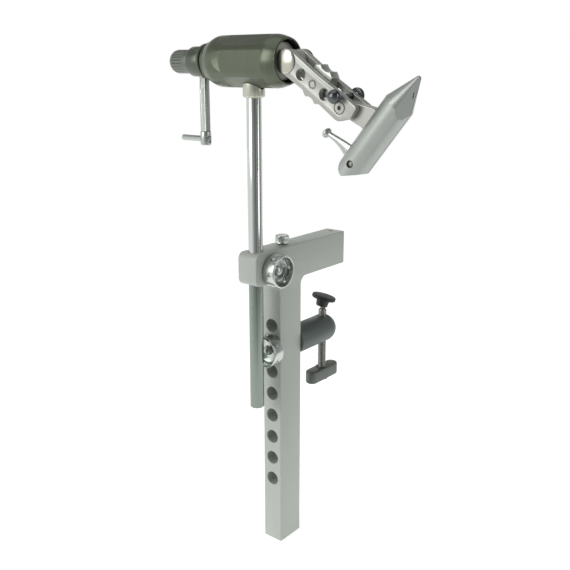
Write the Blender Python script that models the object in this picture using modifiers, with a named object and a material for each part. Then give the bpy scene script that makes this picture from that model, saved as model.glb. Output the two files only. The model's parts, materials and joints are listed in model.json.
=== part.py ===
# Rotary tying vise on a C-clamp: a clamp that grips a table edge carries a sliding stem, the stem
# carries a barrel housing, and the spindle in the housing turns a link and a pair of jaws.
# Metres, +Z up. The origin is on the underside of the clamp's top arm, over the clamp screw's axis.
import math

import bmesh
import bpy
from mathutils import Matrix

# ---- fits ----
touch_gap = 0.0003          # between pieces that touch or are fastened together
slide_gap = 0.0002          # round the stem where it slides
cut_over = 0.004            # how far a cutter runs past the face it opens
fine_edge = 0.0004          # chamfer of the small turned pieces

# ---- clamp body ----
body_width = 0.0155
arm_height = 0.0236
arm_overhang = 0.0150       # top arm past the clamp screw's axis
throat_reach = 0.0357       # bar face to the clamp screw's axis
throat_fillet = 0.0055
bar_depth = 0.0223
bar_drop = 0.1969
lug_reach = 0.0243          # stem lug past the back of the bar
lug_drop = 0.0216
lug_fillet = 0.0090
nose_radius = 0.0045
edge_bevel = 0.0006
bar_hole_radius = 0.0048
bar_hole_pitch = 0.01658
bar_hole_first = 0.03135    # arm underside to the first hole
bar_hole_count = 8
arm_hole_index = 1          # the hole that the lower arm is bolted through
thumb_hole_setback = 0.0110  # tapped hole behind the bar face
thumb_hole_depth = 0.0120
mark_radius = 0.0017        # small drilled mark on the top arm
mark_depth = 0.0010
mark_inset = 0.0060

# ---- stem, draw bolt and knobs ----
stem_radius = 0.00475
stem_setback = 0.0157       # stem axis behind the back of the bar
stem_drop = 0.0850          # below the arm underside
stem_seat = 0.0037          # how far the stem enters the housing
stem_chamfer = 0.0008
bolt_radius = 0.0040
bolt_forward = 0.0080       # draw bolt in front of the stem axis
bolt_height = 0.0110
stud_end_radius = 0.00275
stud_end_length = 0.0066
stud_dome_height = 0.0008
knob_radius = 0.0110
knob_width = 0.0090
knob_wall = 0.0014
knob_floor = 0.0030
knob_edge = 0.0006
knob_hole_radius = 0.0016
knob_hole_height = 0.0050
knob_hole_count = 6
knob_turn = 32.0            # degrees, the first side hole
thumb_head_radius = 0.0047
thumb_head_height = 0.0062
thumb_shank_radius = 0.0027
thumb_shank_length = 0.0100

# ---- lower arm and clamp screw ----
lower_arm_radius = 0.01015
arm_stud_radius = 0.0044
arm_stud_seat = 0.0080
bush_radius = 0.0045
bush_half_length = 0.0086
screw_radius = 0.0030
screw_top = 0.0330          # below the arm underside
screw_shoulder = 0.0012
neck_radius = 0.0015
neck_seat = 0.0040
ball_radius = 0.0026
ball_rise = 0.0047          # ball centre above the clamp screw's top
ball_neck_angle = 145       # degrees from the top to where the ball meets its neck
pad_tilt = 15.5             # degrees, the pad as it hangs
pad_heading = 53.0          # degrees from +X towards +Y, the way it leans
pad_radius = 0.00885
pad_rim = 0.0028
pad_dome = 0.0007
pad_hub_radius = 0.0048
pad_hub_height = 0.0054
pad_ball_below_rim = 0.0024  # ball centre below the disc's lower face
pad_socket_wrap = 45        # degrees that the socket runs past the ball's middle
pad_mouth_share = 1.06      # mouth radius, as a share of the ball's
handle_width = 0.0093
handle_length = 0.0330
handle_height = 0.0094
handle_top = 0.0787         # below the arm underside
handle_seat = 0.0072
handle_pin_radius = 0.0010
handle_edge = 0.0010

# ---- head: collar, housing, bushes ----
head_height = 0.1413        # spindle axis above the arm underside
collar_radius = 0.0069
collar_drop = 0.0212        # collar's lower face below the spindle axis
collar_chamfer = 0.0010
set_screw_radius = 0.0015
housing_radius = 0.0155
housing_rear = -0.0345
housing_mouth = 0.0273
housing_rear_radius = 0.0122
housing_mouth_radius = 0.01345
housing_rear_round = 0.0110  # length over which the rear end narrows
housing_front_round = 0.0085
shoulder_power = 1.65
housing_bore = 0.0100
mouth_bore = 0.0122
mouth_depth = 0.0163
flat_distance = 0.0137
flat_rear = -0.0200
flat_front = 0.0178
flat_count = 6
collar_rise = 0.0035        # collar's blank above the flats, before its saddle is cut
collar_screw_rise = 0.0036  # set screw above the collar's lower face
front_bush_length = 0.0100
rear_bush_length = 0.0080

# ---- spindle and what turns with it ----
spindle_radius = 0.0060
boss_radius = 0.0110
boss_front = 0.0240
boss_length = 0.0110
washer_thickness = 0.0013
boss_edge = 0.0006
tongue_half = 0.0040        # half thickness of the spindle's tongue
tongue_seat = 0.0030        # how far the tongue runs into the boss
link_pivot_x = 0.0313
link_pivot_radius = 0.0025
link_root_radius = 0.0070
ring_front = -0.0350
ring_step = 0.0018
ring_length = 0.0043
ring_radius = 0.0110
ring_nose_radius = 0.0092
hub_front = -0.0396
hub_length = 0.0107
hub_radius = 0.0093
hub_chamfer = 0.0010
hub_screw_share = 0.68      # how far back along the hub its set screw is
thread_radius = 0.0030
crank_x = -0.0422
crank_width = 0.0049
crank_depth = 0.0044
crank_seat = 0.0019         # how far the crank arm enters the hub
crank_boss_radius = 0.00355
crank_boss_top = 0.0433     # below the spindle axis
crank_boss_bottom = 0.0525
crank_boss_edge = 0.0008
crank_boss_overlap = 0.0010  # how far the arm runs into its boss
grip_radius = 0.0019
grip_drop = 0.0485
grip_end = -0.0632
grip_edge = 0.0005
drag_front = -0.0505
drag_end = -0.0702
drag_radius = 0.00745
drag_dome = 0.0067
drag_edge = 0.0006
drag_bore_depth = 0.0125
drag_pocket_radius = 0.0058
drag_pocket_depth = 0.0045
drag_wire = 0.0004

# ---- link plates and their fasteners ----
link_droop = 33.0           # degrees below the horizontal
link_length = 0.0455
plate_inner = 0.0043
plate_thickness = 0.0040
plate_waist = 0.0062        # half width at the middle
plate_end_half = 0.0070     # half width at the end screw
plate_overrun = 0.0093      # past the end screw
plate_end_step = 0.0062     # chamfer of the lower corner
plate_corner = 0.0016       # small round of the upper corner
wheel_along = 0.0231
wheel_radius = 0.0110
wheel_scallop = 0.0017
wheel_half = 0.0037
wheel_lobes = 6
wheel_edge = 0.0006
wheel_turn = 28.0           # degrees, the wheel as it stands on the link
axle_radius = 0.00245
plate_hole_radius = 0.0033
plate_hole_along = (0.0133, 0.0328)
end_head_radius = 0.0033
end_head_depth = 0.0020
end_shank_radius = 0.0020
lock_along = 0.0417
lock_offset = 0.0048
lock_shank_radius = 0.0013
lock_ball_radius = 0.0039
lock_ball_out = 0.0124
lock_nut_radius = 0.0045
lock_nut_height = 0.0024
dome_height = 0.0012
dome_lip = 0.0006           # straight rim under the pivot bolt's dome
pivot_nut_height = 0.0018

# ---- jaws ----
jaw_rake = 38.3             # degrees, jaw axis from the vertical
jaw_offset = 0.0245         # link end screw to the jaw axis
jaw_base = -0.0127          # jaw datum along its axis from the end screw
jaw_radius = 0.00865
jaw_taper_start = 0.0350    # above the datum
jaw_tip = 0.0535
jaw_tip_radius = 0.0012
jaw_stock = 0.0200          # how far the blank runs below the datum before its heel is cut
jaw_split = 0.0004
jaw_heel_radius = 0.00895   # round the cross pin
jaw_heel_slope = 45.0
pin_along = -0.0060
pin_across = 0.0003
pin_radius = 0.00175
jaw_tongue_half = 0.0038
jaw_tongue_root = 0.0042
jaw_tongue_low = -0.0008
jaw_tongue_high = 0.0120
jaw_tongue_bite = 0.0036    # how deep it runs into the jaw
lever_half = 0.0012
pin_recess = 0.0004         # cross pin's end below the jaw's surface
lever_hub_radius = 0.0042
lever_reach = 0.0224        # pin to the centre of the lever's end
lever_rise = 0.0156
lever_bow = 0.0010
lever_root_width = 0.0034
lever_tip_width = 0.0018
lever_end_radius = 0.0031
slot_clear = 0.0005
spring_along = 0.0120
spring_radius = 0.0022
spring_wire = 0.0003
spring_pocket = 0.0030

# ---- places that follow from the sizes above ----
bar_face_y = -throat_reach
bar_back_y = bar_face_y - bar_depth
stem_y = bar_back_y - stem_setback
lug_front_y = bar_back_y - lug_reach
arm_end_y = arm_overhang
lower_arm_z = -(bar_hole_first + arm_hole_index * bar_hole_pitch)
half_width = body_width / 2
knob_seat = half_width + touch_gap
plate_outer = plate_inner + plate_thickness
spindle_rear = hub_front - hub_length + touch_gap

vise = bpy.data.collections.new("rotary_vise")
cutters = bpy.data.collections.new("cutters")


def clear_scene():
    for item in list(bpy.data.objects):
        bpy.data.objects.remove(item, do_unlink=True)
    bpy.context.scene.collection.children.link(vise)
    bpy.context.scene.collection.children.link(cutters)


def finish_material(name, colour, roughness, metallic):
    material = bpy.data.materials.new(name)
    material.use_nodes = True
    shader = material.node_tree.nodes["Principled BSDF"]
    shader.inputs["Base Color"].default_value = (*colour, 1.0)
    shader.inputs["Roughness"].default_value = roughness
    shader.inputs["Metallic"].default_value = metallic
    return material


# ---- turning and placing ----
along_x = (0.0, math.radians(90), 0.0)
along_minus_x = (0.0, math.radians(-90), 0.0)
along_y = (math.radians(-90), 0.0, 0.0)
along_minus_y = (math.radians(90), 0.0, 0.0)
along_z = (0.0, 0.0, 0.0)
in_xz = (math.radians(90), 0.0, 0.0)             # a flat outline drawn in X and Z
in_yz = (math.radians(90), 0.0, math.radians(90))  # a flat outline drawn in Y and Z


def add_object(name, mesh, place, turn, parent=None, material=None):
    item = bpy.data.objects.new(name, mesh)
    item.location = place
    item.rotation_euler = turn
    item.parent = parent
    if material:
        mesh.materials.append(material)
        vise.objects.link(item)
    else:
        item.hide_render = True
        item.display_type = "WIRE"
        cutters.objects.link(item)
    return item


def add_axis(name, place, turn=(0.0, 0.0, 0.0), parent=None):
    axis = bpy.data.objects.new(name, None)
    axis.location = place
    axis.rotation_euler = turn
    axis.parent = parent
    vise.objects.link(axis)
    return axis


def shade_round(mesh):
    mesh.shade_smooth()
    mesh.set_sharp_from_angle(angle=math.radians(35))


def turned(name, profile, place, turn, parent=None, material=None, steps=24, ring=False):
    """A profile of (radius, height) points, from the top down its outer side, turned about Z."""
    mesh = bpy.data.meshes.new(name)
    form = bmesh.new()
    points = [form.verts.new((radius, 0.0, height)) for radius, height in profile]
    for first, second in zip(points, points[1:]):
        form.edges.new((first, second))
    if ring:
        form.edges.new((points[-1], points[0]))
    form.to_mesh(mesh)
    form.free()
    item = add_object(name, mesh, place, turn, parent, material)
    screw = item.modifiers.new("Turn", "SCREW")
    screw.steps = steps
    screw.render_steps = steps
    screw.use_merge_vertices = True
    screw.merge_threshold = 0.00001
    screw.use_smooth_shade = True
    return item


def rod(radius, top, bottom, chamfer=0.0):
    """Profile of a solid rod between two heights, with both ends chamfered."""
    if chamfer == 0.0:
        return [(0.0, top), (radius, top), (radius, bottom), (0.0, bottom)]
    return [(0.0, top), (radius - chamfer, top), (radius, top - chamfer),
            (radius, bottom + chamfer), (radius - chamfer, bottom), (0.0, bottom)]


def tube(outer, inner, top, bottom, chamfer=0.0):
    """Closed profile of a plain ring or bush."""
    return [(outer - chamfer, top), (outer, top - chamfer), (outer, bottom + chamfer),
            (outer - chamfer, bottom), (inner, bottom), (inner, top)]


def arc(centre, radius, start, end, steps):
    """Points on an arc between two angles in degrees."""
    points = []
    for index in range(steps + 1):
        angle = math.radians(start + (end - start) * index / steps)
        points.append((centre[0] + radius * math.cos(angle), centre[1] + radius * math.sin(angle)))
    return points


def rounded(corners, steps=6):
    """Outline whose corners (x, y, radius) are filleted by their own radius."""
    points = []
    count = len(corners)
    for index, (x, y, radius) in enumerate(corners):
        if radius == 0.0:
            points.append((x, y))
            continue
        before, after = corners[index - 1], corners[(index + 1) % count]
        into = Matrix(((before[0] - x, before[1] - y), (after[0] - x, after[1] - y)))
        first, second = into[0].normalized(), into[1].normalized()
        half = first.angle(second) / 2
        middle = (first + second).normalized() * (radius / math.sin(half))
        centre = (x + middle.x, y + middle.y)
        start = math.atan2(y + first.y * radius / math.tan(half) - centre[1],
                           x + first.x * radius / math.tan(half) - centre[0])
        end = math.atan2(y + second.y * radius / math.tan(half) - centre[1],
                         x + second.x * radius / math.tan(half) - centre[0])
        sweep = (end - start + math.pi) % (2 * math.pi) - math.pi
        points += arc(centre, radius, math.degrees(start), math.degrees(start + sweep), steps)
    return points


def flat_piece(name, outline, thickness, place, turn, parent=None, material=None):
    """A filled outline of the given thickness, centred on its own plane, as a mesh."""
    curve = bpy.data.curves.new(name + "_outline", "CURVE")
    curve.dimensions = "2D"
    curve.fill_mode = "BOTH"
    curve.extrude = thickness / 2
    spline = curve.splines.new("POLY")
    spline.points.add(len(outline) - 1)
    for point, (x, y) in zip(spline.points, outline):
        point.co = (x, y, 0.0, 1.0)
    spline.use_cyclic_u = True
    drawn = bpy.data.objects.new(name + "_outline", curve)
    cutters.objects.link(drawn)
    mesh = bpy.data.meshes.new_from_object(drawn.evaluated_get(bpy.context.evaluated_depsgraph_get()))
    mesh.name = name
    mesh.materials.clear()
    bpy.data.objects.remove(drawn, do_unlink=True)
    form = bmesh.new()
    form.from_mesh(mesh)
    bmesh.ops.remove_doubles(form, verts=form.verts, dist=0.000002)
    bmesh.ops.recalc_face_normals(form, faces=form.faces)
    form.to_mesh(mesh)
    form.free()
    return add_object(name, mesh, place, turn, parent, material)


def box(name, size, place, turn=(0.0, 0.0, 0.0), parent=None, material=None):
    mesh = bpy.data.meshes.new(name)
    form = bmesh.new()
    bmesh.ops.create_cube(form, size=1.0, matrix=Matrix.Diagonal((*size, 1.0)))
    form.to_mesh(mesh)
    form.free()
    return add_object(name, mesh, place, turn, parent, material)


def cylinder(name, radius, length, place, turn, parent=None, material=None, segments=24, twist=0.0):
    mesh = bpy.data.meshes.new(name)
    form = bmesh.new()
    bmesh.ops.create_cone(form, cap_ends=True, segments=segments, radius1=radius, radius2=radius,
                          depth=length, matrix=Matrix.Rotation(twist, 4, "Z"))
    form.to_mesh(mesh)
    form.free()
    shade_round(mesh)
    return add_object(name, mesh, place, turn, parent, material)


def ball(name, radius, place, parent=None, material=None, segments=14):
    mesh = bpy.data.meshes.new(name)
    form = bmesh.new()
    bmesh.ops.create_uvsphere(form, u_segments=segments, v_segments=segments // 2, radius=radius)
    form.to_mesh(mesh)
    form.free()
    mesh.shade_smooth()
    return add_object(name, mesh, place, along_z, parent, material)


def join_with(target, tool, operation="DIFFERENCE"):
    boolean = target.modifiers.new(tool.name, "BOOLEAN")
    boolean.solver = "EXACT"
    boolean.operation = operation
    boolean.object = tool


def round_edges(target, width, segments=1):
    bevel = target.modifiers.new("Edges", "BEVEL")
    bevel.width = width
    bevel.segments = segments
    bevel.limit_method = "ANGLE"
    bevel.angle_limit = math.radians(50)


def coil(name, radius, wire, start, end, turns, place, turn, parent, material):
    """A helical spring about its own Z between two heights."""
    curve = bpy.data.curves.new(name, "CURVE")
    curve.dimensions = "3D"
    curve.bevel_depth = wire
    curve.bevel_resolution = 1
    curve.use_fill_caps = True
    spline = curve.splines.new("POLY")
    count = int(turns * 9)
    spline.points.add(count)
    for index, point in enumerate(spline.points):
        share = index / count
        angle = 2 * math.pi * turns * share
        point.co = (radius * math.cos(angle), radius * math.sin(angle),
                    start + (end - start) * share, 1.0)
    item = bpy.data.objects.new(name, curve)
    item.location = place
    item.rotation_euler = turn
    item.parent = parent
    curve.materials.append(material)
    vise.objects.link(item)
    return item


# ---- the clamp ----
def make_clamp_body(material):
    top = arm_height
    corners = [
        (lug_front_y, top, nose_radius),
        (lug_front_y, top - lug_drop, nose_radius),
        (bar_back_y, top - lug_drop, lug_fillet),
        (bar_back_y, -bar_drop, 0.0),
        (bar_face_y, -bar_drop, 0.0),
        (bar_face_y, 0.0, throat_fillet),
        (arm_end_y, 0.0, 0.0),
        (arm_end_y, top, 0.0),
    ]
    body = flat_piece("clamp_body", rounded(corners), body_width, (0.0, 0.0, 0.0), in_yz, None, material)
    round_edges(body, edge_bevel)
    bore = cylinder("stem_bore", stem_radius + slide_gap, arm_height + 2 * cut_over,
                    (0.0, stem_y, top - arm_height / 2), along_z)
    join_with(body, bore)
    bolt_bore = cylinder("bolt_bore", bolt_radius + touch_gap, body_width + 2 * cut_over,
                         (0.0, stem_y + bolt_forward, bolt_height), along_x, segments=24)
    join_with(body, bolt_bore)
    for index in range(bar_hole_count):
        height = -(bar_hole_first + index * bar_hole_pitch)
        hole = cylinder(f"bar_hole_{index}", bar_hole_radius, bar_depth + 2 * cut_over,
                        (0.0, bar_face_y - bar_depth / 2, height), along_y, segments=20)
        join_with(body, hole)
    thumb_hole = cylinder("thumb_hole", thumb_shank_radius + touch_gap, thumb_hole_depth + cut_over,
                          (0.0, bar_face_y - thumb_hole_setback, top - (thumb_hole_depth - cut_over) / 2),
                          along_z, segments=20)
    join_with(body, thumb_hole)
    mark = cylinder("arm_mark", mark_radius, mark_depth + cut_over,
                    (0.0, arm_end_y - mark_inset, top - (mark_depth - cut_over) / 2), along_z, segments=12)
    join_with(body, mark)


def knob_profile(bore):
    rim = knob_radius - knob_edge
    inner = knob_radius - knob_wall
    return [(inner, knob_width - knob_edge / 2), (inner + knob_edge / 2, knob_width), (rim, knob_width),
            (knob_radius, knob_width - knob_edge), (knob_radius, knob_edge), (rim, 0.0),
            (bore, 0.0), (bore, knob_floor), (inner, knob_floor)]


def make_ring_knob(name, place, turn, material):
    bore = stud_end_radius + touch_gap
    knob = turned(name, knob_profile(bore), place, turn, None, material, ring=True)
    for index in range(knob_hole_count // 2):
        angle = math.radians(knob_turn + 360 / knob_hole_count * index)
        drill = cylinder(f"{name}_drill_{index}", knob_hole_radius, 2 * knob_radius + cut_over,
                         (0.0, 0.0, knob_hole_height),
                         (0.0, math.radians(90), angle), knob, segments=8)
        join_with(knob, drill)


def stud_dome(length):
    """Outer profile of a threaded end: domed tip first, then straight down."""
    dome = stud_dome_height
    return [(0.0, length), (stud_end_radius * 0.55, length - dome * 0.3),
            (stud_end_radius, length - dome)]


def make_draw_bolt(material):
    place = (0.0, stem_y + bolt_forward, bolt_height)
    reach = half_width + touch_gap + stud_end_length
    profile = stud_dome(reach) + [
        (stud_end_radius, half_width - touch_gap), (bolt_radius, half_width - touch_gap),
        (bolt_radius, -half_width + touch_gap), (0.0, -half_width + touch_gap)]
    bolt = turned("draw_bolt", profile, place, along_x, None, material, steps=24)
    relief = cylinder("draw_bolt_relief", stem_radius + touch_gap, body_width, (0.0, stem_y, bolt_height),
                      along_z)
    join_with(bolt, relief)


def make_top_thumbscrew(material):
    chamfer = 0.0007
    head = thumb_head_radius
    profile = [(0.0, thumb_head_height), (head - chamfer, thumb_head_height),
               (head, thumb_head_height - chamfer), (head, chamfer), (head - chamfer, 0.0),
               (thumb_shank_radius, 0.0), (thumb_shank_radius, -thumb_shank_length),
               (0.0, -thumb_shank_length)]
    turned("top_thumbscrew", profile, (0.0, bar_face_y - thumb_hole_setback, arm_height + touch_gap),
           along_z, None, material, steps=24)


def make_lower_arm(arm_material, stud_material, bush_material):
    start = bar_face_y + touch_gap
    rounding = [(radius, height) for height, radius in arc((0.0, 0.0), lower_arm_radius, 0, 90, 8)]
    rounding[0] = (0.0, lower_arm_radius)
    chamfer = 0.0005
    profile = rounding + [(lower_arm_radius, start + chamfer), (lower_arm_radius - chamfer, start),
                          (0.0, start)]
    arm = turned("lower_arm", profile, (0.0, 0.0, lower_arm_z), along_y, None, arm_material)
    stud_bore = cylinder("arm_stud_bore", arm_stud_radius + touch_gap, arm_stud_seat + cut_over,
                         (0.0, bar_face_y + (arm_stud_seat - cut_over) / 2 + touch_gap, lower_arm_z),
                         along_y, segments=24)
    join_with(arm, stud_bore)
    bush_bore = cylinder("bush_bore", bush_radius + touch_gap, 2 * lower_arm_radius + cut_over,
                         (0.0, 0.0, lower_arm_z), along_z, segments=24)
    join_with(arm, bush_bore)
    turned("screw_bush", tube(bush_radius, screw_radius + touch_gap, bush_half_length, -bush_half_length,
                              fine_edge),
           (0.0, 0.0, lower_arm_z), along_z, None, bush_material, steps=24, ring=True)
    back = bar_depth + touch_gap + stud_end_length
    stud = stud_dome(back) + [
        (stud_end_radius, bar_depth - touch_gap), (arm_stud_radius, bar_depth - touch_gap),
        (arm_stud_radius, -arm_stud_seat), (0.0, -arm_stud_seat)]
    turned("arm_stud", stud, (0.0, bar_face_y, lower_arm_z), along_minus_y, None, stud_material, steps=24)


def make_clamp_screw(screw_material, handle_material):
    shoulder = screw_shoulder
    bottom = -handle_top - handle_seat
    axis = add_axis("clamp_screw_axis", (0.0, 0.0, 0.0))
    profile = [(neck_radius + touch_gap, -screw_top), (screw_radius - shoulder / 2, -screw_top),
               (screw_radius, -screw_top - shoulder), (screw_radius, bottom), (0.0, bottom),
               (0.0, -screw_top - neck_seat - touch_gap),
               (neck_radius + touch_gap, -screw_top - neck_seat - touch_gap)]
    screw = turned("clamp_screw", profile, (0.0, 0.0, 0.0), along_z, axis, screw_material, steps=24,
                   ring=True)
    pin_z = -handle_top - handle_height / 2
    drill = cylinder("clamp_pin_drill", handle_pin_radius + touch_gap, handle_width + cut_over,
                     (0.0, 0.0, pin_z), along_x, axis, segments=16)
    join_with(screw, drill)
    corner = handle_width / 2 - 0.0001
    half_x, half_y = handle_width / 2, handle_length / 2
    outline = rounded([(-half_x, -half_y, corner), (half_x, -half_y, corner),
                       (half_x, half_y, corner), (-half_x, half_y, corner)])
    handle = flat_piece("handle_bar", outline, handle_height, (0.0, 0.0, pin_z), along_z, axis,
                        handle_material)
    round_edges(handle, handle_edge, 2)
    seat = cylinder("handle_seat", screw_radius + touch_gap, handle_seat + cut_over,
                    (0.0, 0.0, -handle_top - (handle_seat - cut_over) / 2 - touch_gap), along_z, axis,
                    segments=24)
    join_with(handle, seat)
    join_with(handle, drill)
    cylinder("handle_cross_pin", handle_pin_radius, handle_width - 4 * touch_gap, (0.0, 0.0, pin_z),
             along_x, axis, screw_material, segments=12)


def make_swivel_pad(pad_material, ball_material):
    centre = -screw_top + ball_rise
    sphere = [(radius, height) for height, radius in arc((0.0, 0.0), ball_radius, 0, ball_neck_angle, 9)]
    sphere[0] = (0.0, ball_radius)
    foot = -screw_top - neck_seat - centre
    profile = sphere + [(neck_radius, foot), (0.0, foot)]
    turned("screw_ball", profile, (0.0, 0.0, centre), along_z, None, ball_material, steps=20)
    tilt = add_axis("pad_tilt_axis", (0.0, 0.0, centre),
                    (0.0, math.radians(pad_tilt), math.radians(pad_heading)))
    low = pad_ball_below_rim
    hub_foot = low - pad_hub_height
    chamfer = fine_edge
    outer = [(0.0, low + pad_rim + pad_dome), (pad_radius * 0.55, low + pad_rim + pad_dome * 0.7),
             (pad_radius - 2 * chamfer, low + pad_rim), (pad_radius, low + pad_rim - 2 * chamfer),
             (pad_radius, low + chamfer), (pad_radius - chamfer, low), (pad_hub_radius, low),
             (pad_hub_radius, hub_foot + chamfer), (pad_hub_radius - chamfer, hub_foot)]
    socket_radius = ball_radius + touch_gap
    socket = arc((0.0, 0.0), socket_radius, -pad_socket_wrap, 90, 8)
    socket[-1] = (0.0, socket_radius)
    mouth = (ball_radius * pad_mouth_share, hub_foot)
    turned("swivel_pad", outer + [mouth] + socket, (0.0, 0.0, 0.0), along_z, tilt, pad_material, steps=22)


# ---- the stem and the head ----
def make_stem_and_collar(stem_material, collar_material, screw_material):
    top = head_height - housing_radius + stem_seat
    turned("stem", rod(stem_radius, top, -stem_drop, stem_chamfer), (0.0, stem_y, 0.0), along_z, None,
           stem_material)
    head = add_axis("head_axis", (0.0, stem_y, head_height))
    bore = stem_radius + touch_gap
    collar = turned("collar", tube(collar_radius, bore, -flat_distance + collar_rise, -collar_drop,
                                   collar_chamfer), (0.0, 0.0, 0.0), along_z, head, collar_material,
                    ring=True)
    corner = (flat_distance + touch_gap) / math.cos(math.pi / flat_count)
    saddle = cylinder("collar_saddle", corner, 4 * collar_radius, (0.0, 0.0, 0.0), along_x, head,
                      segments=flat_count, twist=math.pi / flat_count)
    join_with(collar, saddle)
    screw_z = -collar_drop + collar_screw_rise
    drill = cylinder("collar_drill", set_screw_radius + touch_gap, collar_radius,
                     (0.0, stem_radius + collar_radius / 2, screw_z), along_y, head, segments=12)
    join_with(collar, drill)
    length = collar_radius - bore - 2 * touch_gap
    cylinder("collar_set_screw", set_screw_radius, length,
             (0.0, bore + touch_gap + length / 2, screw_z), along_y, head, screw_material, segments=12)
    return head


def shoulder(end_radius, end, full, steps=5):
    """Outer profile that swells from an end's radius to the housing's own along a soft curve."""
    points = []
    for index in range(steps + 1):
        share = 1 - index / steps
        points.append((housing_radius - (housing_radius - end_radius) * share ** shoulder_power,
                       full + (end - full) * share))
    return points


def make_housing(head, material):
    step = housing_mouth - mouth_depth
    nose = shoulder(housing_mouth_radius, housing_mouth, housing_mouth - housing_front_round)
    tail = shoulder(housing_rear_radius, housing_rear, housing_rear + housing_rear_round)[::-1]
    profile = nose + tail + [(housing_bore, housing_rear), (housing_bore, step), (mouth_bore, step),
                             (mouth_bore, housing_mouth)]
    housing = turned("housing", profile, (0.0, 0.0, 0.0), along_x, head, material, steps=36, ring=True)
    length = flat_front - flat_rear
    depth = housing_radius - flat_distance + cut_over
    for index in range(flat_count):
        angle = 2 * math.pi / flat_count * index
        distance = flat_distance + depth / 2
        flat = box(f"housing_flat_{index}", (length, depth, housing_radius),
                   ((flat_rear + flat_front) / 2, -distance * math.cos(angle), distance * math.sin(angle)),
                   (-angle, 0.0, 0.0), head)
        join_with(housing, flat)
    seat_top = -housing_radius + stem_seat + touch_gap
    seat = cylinder("stem_seat", stem_radius + touch_gap, 2 * cut_over,
                    (0.0, 0.0, seat_top - cut_over), along_z, head)
    join_with(housing, seat)


def make_bushes(head, material):
    bore = spindle_radius + touch_gap
    outer = housing_bore - touch_gap
    front = housing_mouth - mouth_depth - touch_gap
    turned("front_bush", tube(outer, bore, front, front - front_bush_length), (0.0, 0.0, 0.0), along_x, head,
           material, steps=24, ring=True)
    rear = housing_rear + touch_gap
    turned("rear_bush", tube(outer, bore, rear + rear_bush_length, rear), (0.0, 0.0, 0.0), along_x, head,
           material, steps=24, ring=True)


# ---- the spindle ----
def make_spindle(head, material):
    axis = add_axis("spindle_axis", (0.0, 0.0, 0.0), (0.0, 0.0, 0.0), head)
    boss_rear = boss_front - boss_length
    thread_end = drag_front - drag_bore_depth + 2 * touch_gap
    profile = [(0.0, boss_front), (boss_radius - boss_edge, boss_front), (boss_radius, boss_front - boss_edge),
               (boss_radius, boss_rear), (spindle_radius, boss_rear), (spindle_radius, spindle_rear),
               (thread_radius, spindle_rear), (thread_radius, thread_end), (0.0, thread_end)]
    spindle = turned("spindle", profile, (0.0, 0.0, 0.0), along_x, axis, material)
    root = link_root_radius - slot_clear
    inside = boss_front - tongue_seat
    outline = arc((link_pivot_x, 0.0), root, -90, 90, 12) + [(inside, root), (inside, -root)]
    tongue = flat_piece("spindle_tongue", outline, 2 * tongue_half, (0.0, 0.0, 0.0), in_xz, axis)
    join_with(spindle, tongue, "UNION")
    eye = cylinder("tongue_eye", link_pivot_radius + touch_gap, 4 * tongue_half, (link_pivot_x, 0.0, 0.0),
                   along_y, axis, segments=20)
    join_with(spindle, eye)
    return axis


def make_rear_stack(axis, dark_material, hub_material, washer_material, screw_material):
    bore = spindle_radius + touch_gap
    rear = ring_front - ring_length
    ring = [(ring_nose_radius, ring_front), (ring_nose_radius, ring_front - ring_step),
            (ring_radius, ring_front - ring_step), (ring_radius, rear), (bore, rear), (bore, ring_front)]
    turned("retaining_ring", ring, (0.0, 0.0, 0.0), along_x, axis, dark_material, ring=True)
    washer_front = boss_front - boss_length - touch_gap
    turned("thrust_washer", tube(boss_radius, bore, washer_front, washer_front - washer_thickness),
           (0.0, 0.0, 0.0), along_x, axis, washer_material, steps=24, ring=True)
    hub = turned("crank_hub", tube(hub_radius, bore, hub_front, hub_front - hub_length, hub_chamfer),
                 (0.0, 0.0, 0.0), along_x, axis, hub_material, ring=True)
    slot_top = -hub_radius + crank_seat + touch_gap
    slot = box("crank_slot", (crank_width + 2 * touch_gap, crank_depth + 2 * touch_gap, 2 * cut_over),
               (crank_x, 0.0, slot_top - cut_over), along_z, axis)
    join_with(hub, slot)
    screw_x = hub_front - hub_length * hub_screw_share
    drill = cylinder("hub_drill", set_screw_radius + touch_gap, hub_radius,
                     (screw_x, spindle_radius + hub_radius / 2, 0.0), along_y, axis, segments=12)
    join_with(hub, drill)
    length = hub_radius - bore - 2 * touch_gap
    cylinder("hub_set_screw", set_screw_radius, length, (screw_x, bore + touch_gap + length / 2, 0.0),
             along_y, axis, screw_material, segments=12)


def make_crank(axis, material):
    top = -hub_radius + crank_seat
    bottom = -crank_boss_top - crank_boss_overlap
    middle = (top + bottom) / 2
    arm = box("crank_arm", (crank_width, crank_depth, top - bottom), (crank_x, 0.0, middle), along_z, axis,
              material)
    round_edges(arm, fine_edge)
    boss = turned("crank_boss", rod(crank_boss_radius, -crank_boss_top, -crank_boss_bottom, crank_boss_edge),
                  (0.0, 0.0, -middle), along_z, arm)
    join_with(arm, boss, "UNION")
    eye = cylinder("grip_eye", grip_radius + touch_gap, 4 * crank_boss_radius, (crank_x, 0.0, -grip_drop),
                   along_x, axis, segments=16)
    join_with(arm, eye)
    inner = crank_x + crank_boss_radius
    turned("handle_pin", rod(grip_radius, inner, grip_end, grip_edge), (0.0, 0.0, -grip_drop), along_x, axis,
           material, steps=16)


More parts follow.
